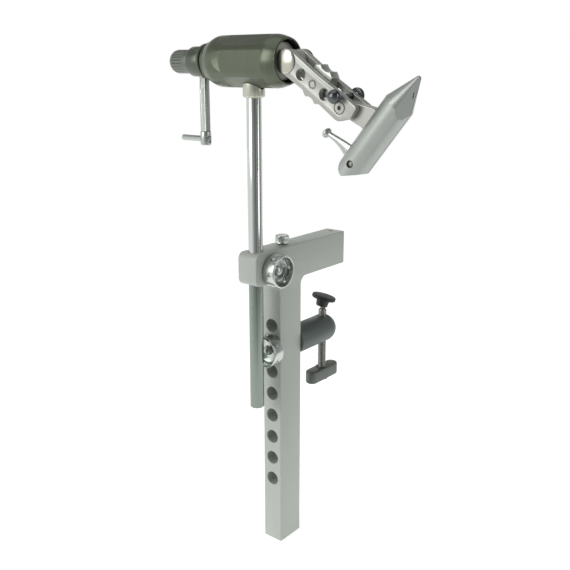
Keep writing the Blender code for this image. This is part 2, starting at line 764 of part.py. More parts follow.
def make_drag_knob(axis, material, spring_material):
    dome = [(radius, height) for height, radius in arc((0.0, 0.0), 1.0, 90, 180, 6)]
    outer = [(drag_radius - drag_edge, drag_front), (drag_radius, drag_front - drag_edge)]
    for radius, height in dome:
        outer.append((drag_radius * radius, drag_end + drag_dome * (1 + height)))
    outer[-1] = (0.0, drag_end)
    bore = thread_radius + touch_gap
    floor = drag_front - drag_bore_depth
    step = drag_front - drag_pocket_depth
    inner = [(0.0, floor), (bore, floor), (bore, step), (drag_pocket_radius, step),
             (drag_pocket_radius, drag_front)]
    turned("drag_knob", outer + inner, (0.0, 0.0, 0.0), along_x, axis, material, ring=True)
    coil("drag_spring", (drag_pocket_radius + bore) / 2, drag_wire, step + drag_wire + touch_gap,
         drag_front - drag_wire - touch_gap, 2.5, (0.0, 0.0, 0.0), along_x, axis, spring_material)


# ---- the link ----
def plate_outline():
    end = link_length + plate_overrun
    root = arc((0.0, 0.0), link_root_radius, 95, 265, 10)
    waist = wheel_along
    lower = [(waist, -plate_waist), (link_length, -plate_end_half),
             (end - plate_end_step, -plate_end_half), (end, -plate_end_half + plate_end_step)]
    upper = [(end, plate_end_half - plate_corner), (end - plate_corner, plate_end_half),
             (link_length, plate_end_half), (waist, plate_waist)]
    return root + lower + upper


def make_plate(name, side, link, material):
    middle = side * (plate_inner + plate_thickness / 2)
    plate = flat_piece(name, plate_outline(), plate_thickness, (0.0, middle, 0.0), in_xz, link, material)
    holes = [("eye", 0.0, 0.0, link_pivot_radius + touch_gap),
             ("axle", wheel_along, 0.0, axle_radius + touch_gap),
             ("end", link_length, 0.0, end_shank_radius + touch_gap),
             ("lock", lock_along, lock_offset, lock_shank_radius + touch_gap)]
    for index, along in enumerate(plate_hole_along):
        holes.append((f"light_{index}", along, 0.0, plate_hole_radius))
    for label, along, rise, radius in holes:
        drill = cylinder(f"{name}_{label}", radius, 3 * plate_thickness, (along, middle, rise), along_y, link,
                         segments=14)
        join_with(plate, drill)
    if side < 0:
        sink = turned(f"{name}_sink", rod(end_head_radius + touch_gap, cut_over, -end_head_depth - touch_gap),
                      (link_length, -plate_outer, 0.0), along_minus_y, link, steps=20)
        join_with(plate, sink)


def make_link(axis, plate_material, dome_material, nut_material, steel_material, wheel_material):
    link = add_axis("link_axis", (link_pivot_x, 0.0, 0.0), (0.0, math.radians(link_droop), 0.0), axis)
    make_plate("near_plate", -1, link, plate_material)
    make_plate("far_plate", 1, link, plate_material)
    face = plate_outer + touch_gap
    head = link_root_radius
    lip = face + dome_lip
    bolt = [(0.0, lip + dome_height), (head * 0.5, lip + dome_height * 0.78),
            (head * 0.85, lip + dome_height * 0.3), (head, lip), (head, face),
            (link_pivot_radius, face), (link_pivot_radius, -face - pivot_nut_height),
            (0.0, -face - pivot_nut_height)]
    turned("pivot_bolt", bolt, (0.0, 0.0, 0.0), along_minus_y, link, dome_material)
    turned("pivot_nut", tube(head, link_pivot_radius + touch_gap, face + pivot_nut_height, face, fine_edge),
           (0.0, 0.0, 0.0), along_y, link, nut_material, ring=True)
    cylinder("wheel_axle", axle_radius, 2 * plate_outer, (wheel_along, 0.0, 0.0), along_y, link,
             steel_material, segments=20)
    outline = []
    steps = 8 * wheel_lobes
    for index in range(steps):
        angle = 2 * math.pi * index / steps
        lobe = (1 - math.cos(wheel_lobes * (angle - math.radians(wheel_turn + link_droop)))) / 2
        reach = wheel_radius - wheel_scallop * lobe
        outline.append((reach * math.cos(angle), reach * math.sin(angle)))
    wheel = flat_piece("scallop_wheel", outline, 2 * wheel_half, (wheel_along, 0.0, 0.0), in_xz, link,
                       wheel_material)
    round_edges(wheel, wheel_edge)
    wheel_eye = cylinder("wheel_eye", axle_radius + touch_gap, 4 * wheel_half, (wheel_along, 0.0, 0.0),
                         along_y, link, segments=20)
    join_with(wheel, wheel_eye)
    screw = [(0.0, plate_outer), (end_head_radius, plate_outer), (end_shank_radius, plate_outer - end_head_depth),
             (end_shank_radius, -plate_outer), (0.0, -plate_outer)]
    turned("end_screw", screw, (link_length, 0.0, 0.0), along_minus_y, link, steel_material, steps=20)
    sphere = [(radius, lock_ball_out + height) for height, radius in
              arc((0.0, 0.0), lock_ball_radius, 0, 158, 10)]
    sphere[0] = (0.0, lock_ball_out + lock_ball_radius)
    foot = -face - lock_nut_height
    lock = sphere + [(lock_shank_radius, face), (lock_shank_radius, foot), (0.0, foot)]
    turned("lock_screw", lock, (lock_along, 0.0, lock_offset), along_minus_y, link, dome_material, steps=20)
    turned("lock_nut", tube(lock_nut_radius, lock_shank_radius + touch_gap, face + lock_nut_height, face,
                            fine_edge),
           (lock_along, 0.0, lock_offset), along_y, link, nut_material, steps=20, ring=True)
    return link


# ---- the jaws ----
def jaw_blank(name, tilt, material=None):
    """The turned jaw with its heel cut round the cross pin, before it is split in two."""
    taper = jaw_tip - jaw_taper_start
    profile = [(0.0, jaw_tip), (jaw_tip_radius, jaw_tip),
               (jaw_radius * 0.62, jaw_taper_start + taper * 0.42),
               (jaw_radius * 0.93, jaw_taper_start + taper * 0.07), (jaw_radius, jaw_taper_start - 0.0010),
               (jaw_radius, -jaw_stock), (0.0, -jaw_stock)]
    blank = turned(name, profile, (jaw_offset, 0.0, jaw_base), along_z, tilt, material, steps=28)
    heel = arc((pin_across, pin_along), jaw_heel_radius, 180, 270, 10)
    side = jaw_radius + cut_over
    foot = pin_along - jaw_heel_radius
    slope = math.tan(math.radians(jaw_heel_slope))
    outline = heel + [(side, foot + (side - pin_across) * slope), (side, jaw_tip + cut_over),
                      (-jaw_radius - 0.0001, jaw_tip + cut_over)]
    envelope = flat_piece(name + "_envelope", outline, 4 * jaw_radius, (jaw_offset, 0.0, jaw_base), in_xz,
                          tilt)
    join_with(blank, envelope, "INTERSECT")
    return blank


def make_jaws(link, jaw_material, spring_material, pin_material, lever_material):
    jaw_axis = add_axis("jaw_axis", (link_length, 0.0, 0.0), (0.0, math.radians(jaw_rake - link_droop), 0.0),
                        link)
    far_jaw = jaw_blank("far_jaw", jaw_axis, jaw_material)
    near_jaw = jaw_blank("near_jaw", jaw_axis, jaw_material)
    length = 2 * jaw_tip
    near_side = box("near_side", (4 * jaw_radius, 2 * jaw_radius, 2 * length),
                    (jaw_offset, -jaw_radius + jaw_split / 2, 0.0), along_z, jaw_axis)
    far_side = box("far_side", (4 * jaw_radius, 2 * jaw_radius, 2 * length),
                   (jaw_offset, jaw_radius - jaw_split / 2, 0.0), along_z, jaw_axis)
    join_with(far_jaw, near_side)
    join_with(near_jaw, far_side)

    surface = jaw_offset - jaw_radius
    inside = surface + jaw_tongue_bite
    slant = math.degrees(math.atan2((jaw_tongue_low + jaw_tongue_high) / 2, surface))
    outline = arc((0.0, 0.0), jaw_tongue_root, slant + 90, slant + 270, 10) + [
        (surface - 0.0006, jaw_tongue_low), (inside, jaw_tongue_low), (inside, jaw_tongue_high),
        (surface - 0.0006, jaw_tongue_high)]
    tongue = flat_piece("jaw_tongue", outline, 2 * jaw_tongue_half, (0.0, 0.0, 0.0), in_xz, jaw_axis)
    join_with(far_jaw, tongue, "UNION")
    eye = cylinder("jaw_eye", end_shank_radius + touch_gap, 4 * jaw_tongue_half, (0.0, 0.0, 0.0), along_y,
                   jaw_axis, segments=20)
    join_with(far_jaw, eye)
    reach = jaw_tongue_bite + slot_clear
    notch = box("tongue_notch", (2 * reach, 2 * (jaw_tongue_half + slot_clear),
                                 jaw_tongue_high - jaw_tongue_low + 2 * slot_clear),
                (surface, 0.0, (jaw_tongue_low + jaw_tongue_high) / 2), along_z, jaw_axis)
    join_with(near_jaw, notch)

    pin = (jaw_offset + pin_across, 0.0, jaw_base + pin_along)
    slot_half = lever_half + slot_clear
    slot_height = lever_hub_radius + slot_clear
    slot_inner = lever_hub_radius + slot_clear
    lever_slot = box("lever_slot", (slot_inner + 2 * jaw_radius, 2 * slot_half, 2 * slot_height),
                     (pin[0] + slot_inner - (slot_inner + 2 * jaw_radius) / 2, 0.0, pin[2]), along_z,
                     jaw_axis)
    heel_slot = box("lever_slot_heel", (2 * jaw_heel_radius, 2 * slot_half, 2 * jaw_heel_radius),
                    (pin[0] + slot_inner - jaw_heel_radius, 0.0, pin[2] - jaw_heel_radius), along_z, jaw_axis)
    for half in (far_jaw, near_jaw):
        join_with(half, lever_slot)
        join_with(half, heel_slot)
    pin_fit = cylinder("pin_fit", pin_radius + touch_gap, 4 * jaw_radius, pin, along_y, jaw_axis, segments=20)
    pin_free = cylinder("pin_free", pin_radius + 2 * touch_gap, 4 * jaw_radius, pin, along_y, jaw_axis,
                        segments=20)
    join_with(far_jaw, pin_fit)
    join_with(near_jaw, pin_free)
    pin_reach = jaw_radius - pin_recess
    cylinder("cross_pin", pin_radius, 2 * pin_reach, pin, along_y, jaw_axis, pin_material, segments=20)

    pocket = cylinder("spring_pocket", spring_radius + spring_wire + 2 * touch_gap, 2 * spring_pocket,
                      (jaw_offset, 0.0, jaw_base + spring_along), along_y, jaw_axis, segments=20)
    join_with(far_jaw, pocket)
    join_with(near_jaw, pocket)
    rest = spring_pocket - spring_wire - touch_gap
    coil("jaw_spring", spring_radius, spring_wire, -rest, rest, 4,
         (jaw_offset, 0.0, jaw_base + spring_along), along_y, jaw_axis, spring_material)
    make_cam_lever(jaw_axis, pin, lever_material)


def make_cam_lever(jaw_axis, pin, material):
    """A flat cam on the pin, drawn out into a slim bowed arm with a ball at its end."""
    tilt = -math.radians(jaw_rake)
    reach = math.hypot(lever_reach, lever_rise)
    rise = math.atan2(lever_rise, -lever_reach)
    lever_axis = add_axis("lever_axis", pin, (0.0, tilt - rise, 0.0), jaw_axis)
    steps = 10
    upper, lower = [], []
    for index in range(steps + 1):
        share = index / steps
        along = lever_hub_radius * 0.8 + (reach - lever_hub_radius * 0.8) * share
        bow = -lever_bow * math.sin(math.pi * share)
        width = lever_root_width + (lever_tip_width - lever_root_width) * share
        upper.append((along, bow + width))
        lower.append((along, bow - width))
    hub = arc((0.0, 0.0), lever_hub_radius, 60, 300, 14)
    lever = flat_piece("cam_lever", hub + lower + upper[::-1], 2 * lever_half, (0.0, 0.0, 0.0), in_xz,
                       lever_axis, material)
    end = ball("lever_end", lever_end_radius, (reach, 0.0, 0.0), lever_axis, segments=16)
    join_with(lever, end, "UNION")
    eye = cylinder("lever_eye", pin_radius + touch_gap, 4 * lever_half, (0.0, 0.0, 0.0), along_y, lever_axis,
                   segments=20)
    join_with(lever, eye)


def build():
    clear_scene()
    enamel = finish_material("clamp_enamel", (0.42, 0.44, 0.39), 0.45, 0.2)
    chrome = finish_material("chrome_plate", (0.78, 0.78, 0.77), 0.12, 1.0)
    dark = finish_material("dark_anodised", (0.05, 0.05, 0.055), 0.40, 0.6)
    olive = finish_material("olive_anodised", (0.20, 0.20, 0.16), 0.38, 0.7)
    grey = finish_material("grey_anodised", (0.30, 0.30, 0.28), 0.38, 0.7)
    light = finish_material("light_aluminium", (0.62, 0.62, 0.60), 0.32, 1.0)
    steel = finish_material("ground_steel", (0.55, 0.55, 0.54), 0.25, 1.0)
    bronze = finish_material("bush_bronze", (0.45, 0.30, 0.12), 0.35, 1.0)
    black = finish_material("black_plastic", (0.02, 0.02, 0.02), 0.50, 0.0)

    make_clamp_body(enamel)
    make_draw_bolt(chrome)
    make_ring_knob("stem_knob", (knob_seat, stem_y + bolt_forward, bolt_height), along_x, chrome)
    make_top_thumbscrew(chrome)
    make_lower_arm(dark, chrome, dark)
    make_ring_knob("arm_knob", (0.0, bar_back_y - touch_gap, lower_arm_z), along_minus_y, chrome)
    make_clamp_screw(steel, grey)
    make_swivel_pad(black, steel)

    head = make_stem_and_collar(chrome, light, dark)
    make_housing(head, olive)
    make_bushes(head, bronze)
    axis = make_spindle(head, steel)
    make_rear_stack(axis, dark, light, steel, dark)
    make_crank(axis, chrome)
    make_drag_knob(axis, grey, steel)
    link = make_link(axis, light, chrome, dark, steel, light)
    make_jaws(link, steel, steel, dark, chrome)


build()
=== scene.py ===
import json
import math

import bmesh
import bpy
from mathutils import Matrix, Vector


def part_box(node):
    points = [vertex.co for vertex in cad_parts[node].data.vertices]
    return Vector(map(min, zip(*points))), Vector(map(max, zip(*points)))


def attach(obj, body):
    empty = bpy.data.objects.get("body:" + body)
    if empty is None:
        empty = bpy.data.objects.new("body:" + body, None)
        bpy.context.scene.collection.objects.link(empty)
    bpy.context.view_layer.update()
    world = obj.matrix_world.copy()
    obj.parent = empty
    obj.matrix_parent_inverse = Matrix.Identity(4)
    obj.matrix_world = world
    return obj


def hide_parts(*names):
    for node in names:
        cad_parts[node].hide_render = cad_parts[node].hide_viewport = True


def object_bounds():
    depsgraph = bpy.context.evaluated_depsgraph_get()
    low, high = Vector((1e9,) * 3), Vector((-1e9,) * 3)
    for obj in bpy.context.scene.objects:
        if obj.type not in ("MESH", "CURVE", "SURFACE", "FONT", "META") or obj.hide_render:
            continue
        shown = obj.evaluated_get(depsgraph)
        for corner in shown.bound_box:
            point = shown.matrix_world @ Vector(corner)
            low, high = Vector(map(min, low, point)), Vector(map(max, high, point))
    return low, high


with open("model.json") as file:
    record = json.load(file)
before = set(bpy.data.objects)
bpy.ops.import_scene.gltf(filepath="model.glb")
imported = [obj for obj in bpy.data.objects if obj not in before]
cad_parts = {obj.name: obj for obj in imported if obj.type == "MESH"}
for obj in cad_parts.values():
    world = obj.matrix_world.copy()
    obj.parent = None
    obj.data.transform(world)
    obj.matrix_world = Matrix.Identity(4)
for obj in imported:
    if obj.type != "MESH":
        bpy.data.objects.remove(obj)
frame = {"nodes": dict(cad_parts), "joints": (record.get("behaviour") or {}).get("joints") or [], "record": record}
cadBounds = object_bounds()
print("frame loaded:", len(frame["nodes"]), "nodes")

# Every size below is in millimetres; forms become metres when they are set down.
metresPerMm = 0.001
throughAll = 60          # a cutter this long passes right through any piece
joints = {joint["name"]: joint for joint in frame["joints"]}
mounts = {mount["name"]: mount for mount in frame["record"]["mounts"]}


def jointPlace(name):
    return Vector(joints[name]["pos_m"]) / metresPerMm


def at(x, y, z, turn=Matrix.Identity(4)):
    return Matrix.Translation((x, y, z)) @ turn


def boxMm(node):
    low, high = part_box(node)
    return Vector(low) / metresPerMm, Vector(high) / metresPerMm


# Places: one matrix for each turned or tilted group
def axesAt(origin, along, up):
    # Columns are the group's X, Y and Z.
    side = up.cross(along)
    place = Matrix((along, side, up)).transposed().to_4x4()
    place.translation = origin
    return place


turnToX = Matrix.Rotation(math.radians(90), 4, "Y")
turnToBack = Matrix.Rotation(math.radians(-90), 4, "X")     # Z onto +Y
turnToFront = Matrix.Rotation(math.radians(90), 4, "X")     # Z onto -Y

headPlace = Matrix.Translation(jointPlace("spindle_turn"))
linkStart, linkEnd = jointPlace("link_tilt"), jointPlace("jaw_tilt")
linkLength = (linkEnd - linkStart).length
linkAlong = (linkEnd - linkStart).normalized()
linkPlace = axesAt(linkStart, linkAlong, linkAlong.cross(Vector((0, 1, 0))))
jawUp = Vector(mounts["hook_jaws"]["axis"]).normalized()
jawTip = Vector(mounts["hook_jaws"]["pos_m"]) / metresPerMm
stemY = headPlace.translation.y
headZ = headPlace.translation.z


# Forms
def spun(profile, steps=64, closed=False):
    # (radius, height) points turned round Z.
    form = bmesh.new()
    points = [form.verts.new((radius, 0, height)) for radius, height in profile]
    pairs = list(zip(points, points[1:])) + ([(points[-1], points[0])] if closed else [])
    edges = [form.edges.new(pair) for pair in pairs]
    bmesh.ops.spin(form, geom=points + edges, axis=(0, 0, 1), cent=(0, 0, 0), angle=2 * math.pi,
                   steps=steps, use_merge=True)
    bmesh.ops.remove_doubles(form, verts=form.verts, dist=0.0005)
    bmesh.ops.recalc_face_normals(form, faces=form.faces)
    return form


def domeProfile(radius, start, end, steps, centre=0):
    # A ball's outline from its pole down, as (radius, height).
    return [(0, centre + radius)] + [(across, centre + height)
                                     for height, across in arcPoints((0, 0), radius, start, end, steps)[1:]]


def rodProfile(radius, top, bottom, edge):
    return [(0, top), (radius - edge, top), (radius - edge * 0.3, top - edge * 0.3), (radius, top - edge),
            (radius, bottom + edge), (radius - edge * 0.3, bottom + edge * 0.3), (radius - edge, bottom),
            (0, bottom)]


def tubeProfile(outer, inner, top, bottom, edge):
    return [(outer - edge, top), (outer - edge * 0.3, top - edge * 0.3), (outer, top - edge),
            (outer, bottom + edge), (outer - edge * 0.3, bottom + edge * 0.3), (outer - edge, bottom),
            (inner + edge * 0.4, bottom), (inner, bottom + edge * 0.4), (inner, top - edge * 0.4),
            (inner + edge * 0.4, top)]


def blockForm(size, centre=(0, 0, 0), edge=0, segments=3):
    form = bmesh.new()
    bmesh.ops.create_cube(form, size=1, matrix=Matrix.Translation(centre) @ Matrix.Diagonal((*size, 1)))
    if edge:
        bevelEdges(form, form.edges, edge, segments)
    return form


def rodForm(radius, length, matrix, steps=48, endRadius=None):
    form = bmesh.new()
    bmesh.ops.create_cone(form, cap_ends=True, segments=steps, radius1=radius,
                          radius2=radius if endRadius is None else endRadius, depth=length, matrix=matrix)
    return form


def bevelEdges(form, edges, width, segments=2):
    bmesh.ops.bevel(form, geom=list(edges), offset=width, offset_type="OFFSET", segments=segments,
                    profile=0.5, affect="EDGES", clamp_overlap=True, material=-1)


def arcPoints(centre, radius, start, end, steps):
    points = []
    for index in range(steps + 1):
        angle = math.radians(start + (end - start) * index / steps)
        points.append((centre[0] + radius * math.cos(angle), centre[1] + radius * math.sin(angle)))
    return points


def filleted(corners, steps=10):
    # An outline with each corner (x, y, radius) rounded by its own radius.
    points = []
    for index, (x, y, radius) in enumerate(corners):
        if not radius:
            points.append((x, y))
            continue
        here = Vector((x, y))
        before = (Vector(corners[index - 1][:2]) - here).normalized()
        after = (Vector(corners[(index + 1) % len(corners)][:2]) - here).normalized()
        half = before.angle(after) / 2
        centre = here + (before + after).normalized() * radius / math.sin(half)
        first = here + before * radius / math.tan(half) - centre
        last = here + after * radius / math.tan(half) - centre
        start, end = math.atan2(first.y, first.x), math.atan2(last.y, last.x)
        sweep = (end - start + math.pi) % (2 * math.pi) - math.pi
        points += arcPoints(centre, radius, math.degrees(start), math.degrees(start + sweep), steps)
    return points


def sheetForm(outlines, thickness, edge):
    # A flat piece in X and Y with holes and rounded edges; the first outline is the outside.
    curve = bpy.data.curves.new("sheet", "CURVE")
    curve.dimensions = "2D"
    curve.fill_mode = "BOTH"
    curve.extrude = thickness / 2 - edge
    curve.bevel_depth = edge
    curve.bevel_resolution = 2
    curve.offset = -edge
    for outline in outlines:
        spline = curve.splines.new("POLY")
        spline.points.add(len(outline) - 1)
        for point, (x, y) in zip(spline.points, outline):
            point.co = (x, y, 0, 1)
        spline.use_cyclic_u = True
    drawn = bpy.data.objects.new("sheet", curve)
    bpy.context.scene.collection.objects.link(drawn)
    bpy.context.view_layer.update()
    mesh = bpy.data.meshes.new_from_object(drawn.evaluated_get(bpy.context.evaluated_depsgraph_get()))
    form = bmesh.new()
    form.from_mesh(mesh)
    bpy.data.objects.remove(drawn, do_unlink=True)
    bpy.data.meshes.remove(mesh)
    bmesh.ops.remove_doubles(form, verts=form.verts, dist=0.001)
    bmesh.ops.recalc_face_normals(form, faces=form.faces)
    return form


def hole(x, y, radius, steps=40):
    return arcPoints((x, y), radius, 360, 360 / steps, steps - 1)


def asObject(name, form, place):
    mesh = bpy.data.meshes.new(name)
    form.transform(Matrix.Scale(metresPerMm, 4) @ place)
    form.to_mesh(mesh)
    form.free()
    piece = bpy.data.objects.new(name, mesh)
    bpy.context.scene.collection.objects.link(piece)
    return piece


def applyModifiers(piece):
    bpy.context.view_layer.update()
    mesh = bpy.data.meshes.new_from_object(piece.evaluated_get(bpy.context.evaluated_depsgraph_get()))
    old = piece.data
    piece.modifiers.clear()
    piece.data = mesh
    mesh.name = piece.name
    bpy.data.meshes.remove(old)


def carve(piece, forms, place, operation="DIFFERENCE"):
    # Cuts the forms out of a piece, or joins them to it.
    tools = []
    for form in forms:
        tool = asObject("tool", form, place)
        cut = piece.modifiers.new("Cut", "BOOLEAN")
        cut.solver = "EXACT"
        cut.operation = operation
        cut.object = tool
        tools.append(tool)
    applyModifiers(piece)
    for tool in tools:
        bpy.data.objects.remove(tool, do_unlink=True)


def softenEdges(piece, width, segments=3, angle=35):
    bevel = piece.modifiers.new("Edges", "BEVEL")
    bevel.width = width * metresPerMm
    bevel.segments = segments
    bevel.limit_method = "ANGLE"
    bevel.angle_limit = math.radians(angle)
    bevel.harden_normals = False
    applyModifiers(piece)


def finishPiece(piece, body, nodes, finish, sharp=32):
    piece.data.shade_smooth()
    piece.data.set_sharp_from_angle(angle=math.radians(sharp))
    piece.data.materials.clear()
    piece.data.materials.append(finishes[finish])
    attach(piece, body)
    if nodes:
        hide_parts(*nodes)
    return piece


def turnedPiece(name, profile, steps, place, body, nodes, finish, closed=False):
    piece = asObject(name, spun(profile, steps, closed), place)
    return finishPiece(piece, body, nodes, finish)


# Shader maths
class Wire:
    # A socket that takes arithmetic: each operation adds its own Math node.

    def __init__(self, bench, socket):
        self.bench = bench
        self.socket = socket

    def combine(self, operation, first, second):
        return self.bench.node("ShaderNodeMath", {"operation": operation}, {0: first, 1: second})

    def __add__(self, other):
        return self.combine("ADD", self, other)

    def __mul__(self, other):
        return self.combine("MULTIPLY", self, other)


class Bench:
    # One material's node tree, ready for the finish to be laid on.

    def __init__(self, name, roughness, metallic):
        self.material = bpy.data.materials.new(name)
        self.material.use_nodes = True
        self.tree = self.material.node_tree
        self.shader = self.tree.nodes["Principled BSDF"]
        self.shader.inputs["Roughness"].default_value = roughness
        self.shader.inputs["Metallic"].default_value = metallic
        self.place = self.node("ShaderNodeTexCoord", output="Object")

    def node(self, kind, settings=None, sockets=None, output=0):
        made = self.tree.nodes.new(kind)
        for key, value in (settings or {}).items():
            setattr(made, key, value)
        for key, value in (sockets or {}).items():
            if isinstance(value, Wire):
                self.tree.links.new(value.socket, made.inputs[key])
            else:
                made.inputs[key].default_value = value
        return Wire(self, made.outputs[output])

    def mapped(self, scale, turn=(0, 0, 0)):
        return self.node("ShaderNodeMapping", {}, {"Vector": self.place, "Rotation": turn, "Scale": scale})

    def noise(self, vector, scale, detail=3, roughness=0.55):
        return self.node("ShaderNodeTexNoise", {}, {"Vector": vector, "Scale": scale, "Detail": detail,
                                                    "Roughness": roughness})

    def spread(self, value, low, high):
        # Stretches a noise's middle range to 0..1.
        return self.node("ShaderNodeMapRange", {}, {"Value": value, "From Min": low, "From Max": high})

    def blendColours(self, factor, first, second):
        mix = self.tree.nodes.new("ShaderNodeMix")
        mix.data_type = "RGBA"
        self.tree.links.new(factor.socket, mix.inputs["Factor"])
        mix.inputs[6].default_value = (*first, 1)
        mix.inputs[7].default_value = (*second, 1)
        return Wire(self, mix.outputs[2])

    def feed(self, socket, wire):
        self.tree.links.new(wire.socket, self.shader.inputs[socket])

    def bump(self, height, strength, distance):
        self.feed("Normal", self.node("ShaderNodeBump", {}, {"Height": height, "Strength": strength,
                                                            "Distance": distance}))


def grainFinish(name, dark, light, roughness, metallic, stretch, turn=(0, 0, 0), grain=900, bump=0.12,
                roughSpread=0.08, coat=0.0, mottle=14):
    # Metal or paint with a fine grain stretched one way, a slow change of tone and a faint handling haze.
    bench = Bench(name, roughness, metallic)
    fine = bench.noise(bench.mapped(stretch, turn), grain, 4, 0.6)
    slow = bench.spread(bench.noise(bench.place, mottle, 3), 0.3, 0.7)
    haze = bench.spread(bench.noise(bench.place, mottle * 6, 5, 0.65), 0.35, 0.75)
    tone = bench.spread(fine, 0.25, 0.75) * 0.45 + slow * 0.55
    bench.feed("Base Color", bench.blendColours(tone, dark, light))
    bench.feed("Roughness", haze * roughSpread + fine * (roughSpread * 0.6) + (roughness - roughSpread * 0.6))
    bench.bump(fine, bump, 0.00002)
    bench.shader.inputs["Coat Weight"].default_value = coat
    bench.shader.inputs["Coat Roughness"].default_value = 0.15
    return bench.material


linkTilt = math.atan2(-linkAlong.z, linkAlong.x)
jawTilt = math.atan2(jawUp.x, jawUp.z)
finishes = {
    "enamel": grainFinish("clampEnamel", (0.385, 0.420, 0.380), (0.445, 0.480, 0.435), 0.42, 0.0, (1, 1, 1),
                          grain=1500, bump=0.25, coat=0.12),
    "knob": grainFinish("knobChrome", (0.50, 0.53, 0.50), (0.60, 0.63, 0.60), 0.24, 1.0, (1, 1, 1),
                        grain=400, bump=0.04, roughSpread=0.06),
    "satin": grainFinish("satinChrome", (0.42, 0.45, 0.42), (0.50, 0.53, 0.50), 0.30, 0.9, (2, 2, 1),
                         grain=160, bump=0.012, roughSpread=0.04),
    "arm": grainFinish("darkArm", (0.100, 0.122, 0.114), (0.130, 0.156, 0.146), 0.42, 0.25, (1, 1, 1),
                       grain=1600, bump=0.15),
    "olive": grainFinish("oliveBarrel", (0.082, 0.098, 0.066), (0.118, 0.136, 0.094), 0.30, 0.60, (30, 1, 1),
                         grain=60, bump=0.05, coat=0.06),
    "hub": grainFinish("turnedHub", (0.080, 0.096, 0.074), (0.118, 0.136, 0.108), 0.32, 0.65, (30, 1, 1),
                       grain=60, bump=0.06),
    "darkRing": grainFinish("oliveRing", (0.085, 0.098, 0.072), (0.120, 0.135, 0.100), 0.38, 0.5, (30, 1, 1),
                            grain=60, bump=0.05),
    "drag": grainFinish("dragKnobGrey", (0.130, 0.150, 0.126), (0.190, 0.212, 0.182), 0.36, 0.7, (1, 1, 1),
                        grain=1200, bump=0.12),
    "collar": grainFinish("collarAluminium", (0.47, 0.48, 0.40), (0.56, 0.57, 0.49), 0.30, 0.75, (1, 1, 30),
                          grain=60, bump=0.05),
    "plate": grainFinish("milledPlate", (0.37, 0.38, 0.345), (0.45, 0.46, 0.425), 0.36, 0.6, (1, 8, 10),
                         turn=(0, linkTilt, 0), grain=160, bump=0.05),
    "dome": grainFinish("turnedDome", (0.46, 0.45, 0.38), (0.58, 0.57, 0.49), 0.22, 0.9, (1, 1, 1),
                        grain=500, bump=0.04),
    "wheel": grainFinish("wheelAluminium", (0.38, 0.40, 0.365), (0.48, 0.50, 0.46), 0.32, 0.8, (1, 8, 1),
                         grain=160, bump=0.08),
    "steel": grainFinish("groundSteel", (0.36, 0.385, 0.36), (0.44, 0.465, 0.44), 0.36, 0.7, (8, 8, 1),
                         turn=(0, jawTilt, 0), grain=220, bump=0.04),
    "screw": grainFinish("screwSteel", (0.24, 0.25, 0.22), (0.32, 0.335, 0.30), 0.38, 0.8, (1, 1, 20),
                         grain=100, bump=0.05),
    "handle": grainFinish("handleGrey", (0.115, 0.133, 0.116), (0.155, 0.174, 0.154), 0.42, 0.35, (1, 1, 1),
                          grain=1500, bump=0.18),
    "nut": grainFinish("darkFastener", (0.035, 0.04, 0.04), (0.07, 0.08, 0.08), 0.25, 0.9, (1, 1, 1),
                       grain=600, bump=0.06),
    "ball": grainFinish("blackChromeBall", (0.095, 0.105, 0.108), (0.150, 0.162, 0.165), 0.14, 0.9, (1, 1, 1),
                        grain=300, bump=0.01, roughSpread=0.04),
    "plastic": grainFinish("mouldedBlack", (0.006, 0.010, 0.010), (0.010, 0.015, 0.015), 0.5, 0.0,
                           (1, 1, 1), grain=2600, bump=0.30, roughSpread=0.14),
    "bronze": grainFinish("bushBronze", (0.42, 0.27, 0.10), (0.52, 0.35, 0.15), 0.32, 1.0, (20, 1, 1),
                          grain=80, bump=0.05),
}
print("finishes mixed:", len(finishes))


# The clamp
clamp = {"edge": 0.55, "noseRadius": 4.5, "throatRadius": 5.5, "lugRadius": 9.0, "lugHeight": 21.6,
         "barDepth": 22.3, "holeRadius": 4.8, "holePitch": 16.58, "holeFirst": 31.35, "holeCount": 8,
         "stemBore": 4.95, "boltBore": 4.3, "boltForward": 8.0, "boltHeight": 11.0,
         "thumbBore": 3.0, "thumbDepth": 12.0, "markRadius": 1.8, "markInset": 6.0, "markDepth": 0.5,
         "armGap": 0.3, "sink": 0.3, "cutterPast": 2.0}


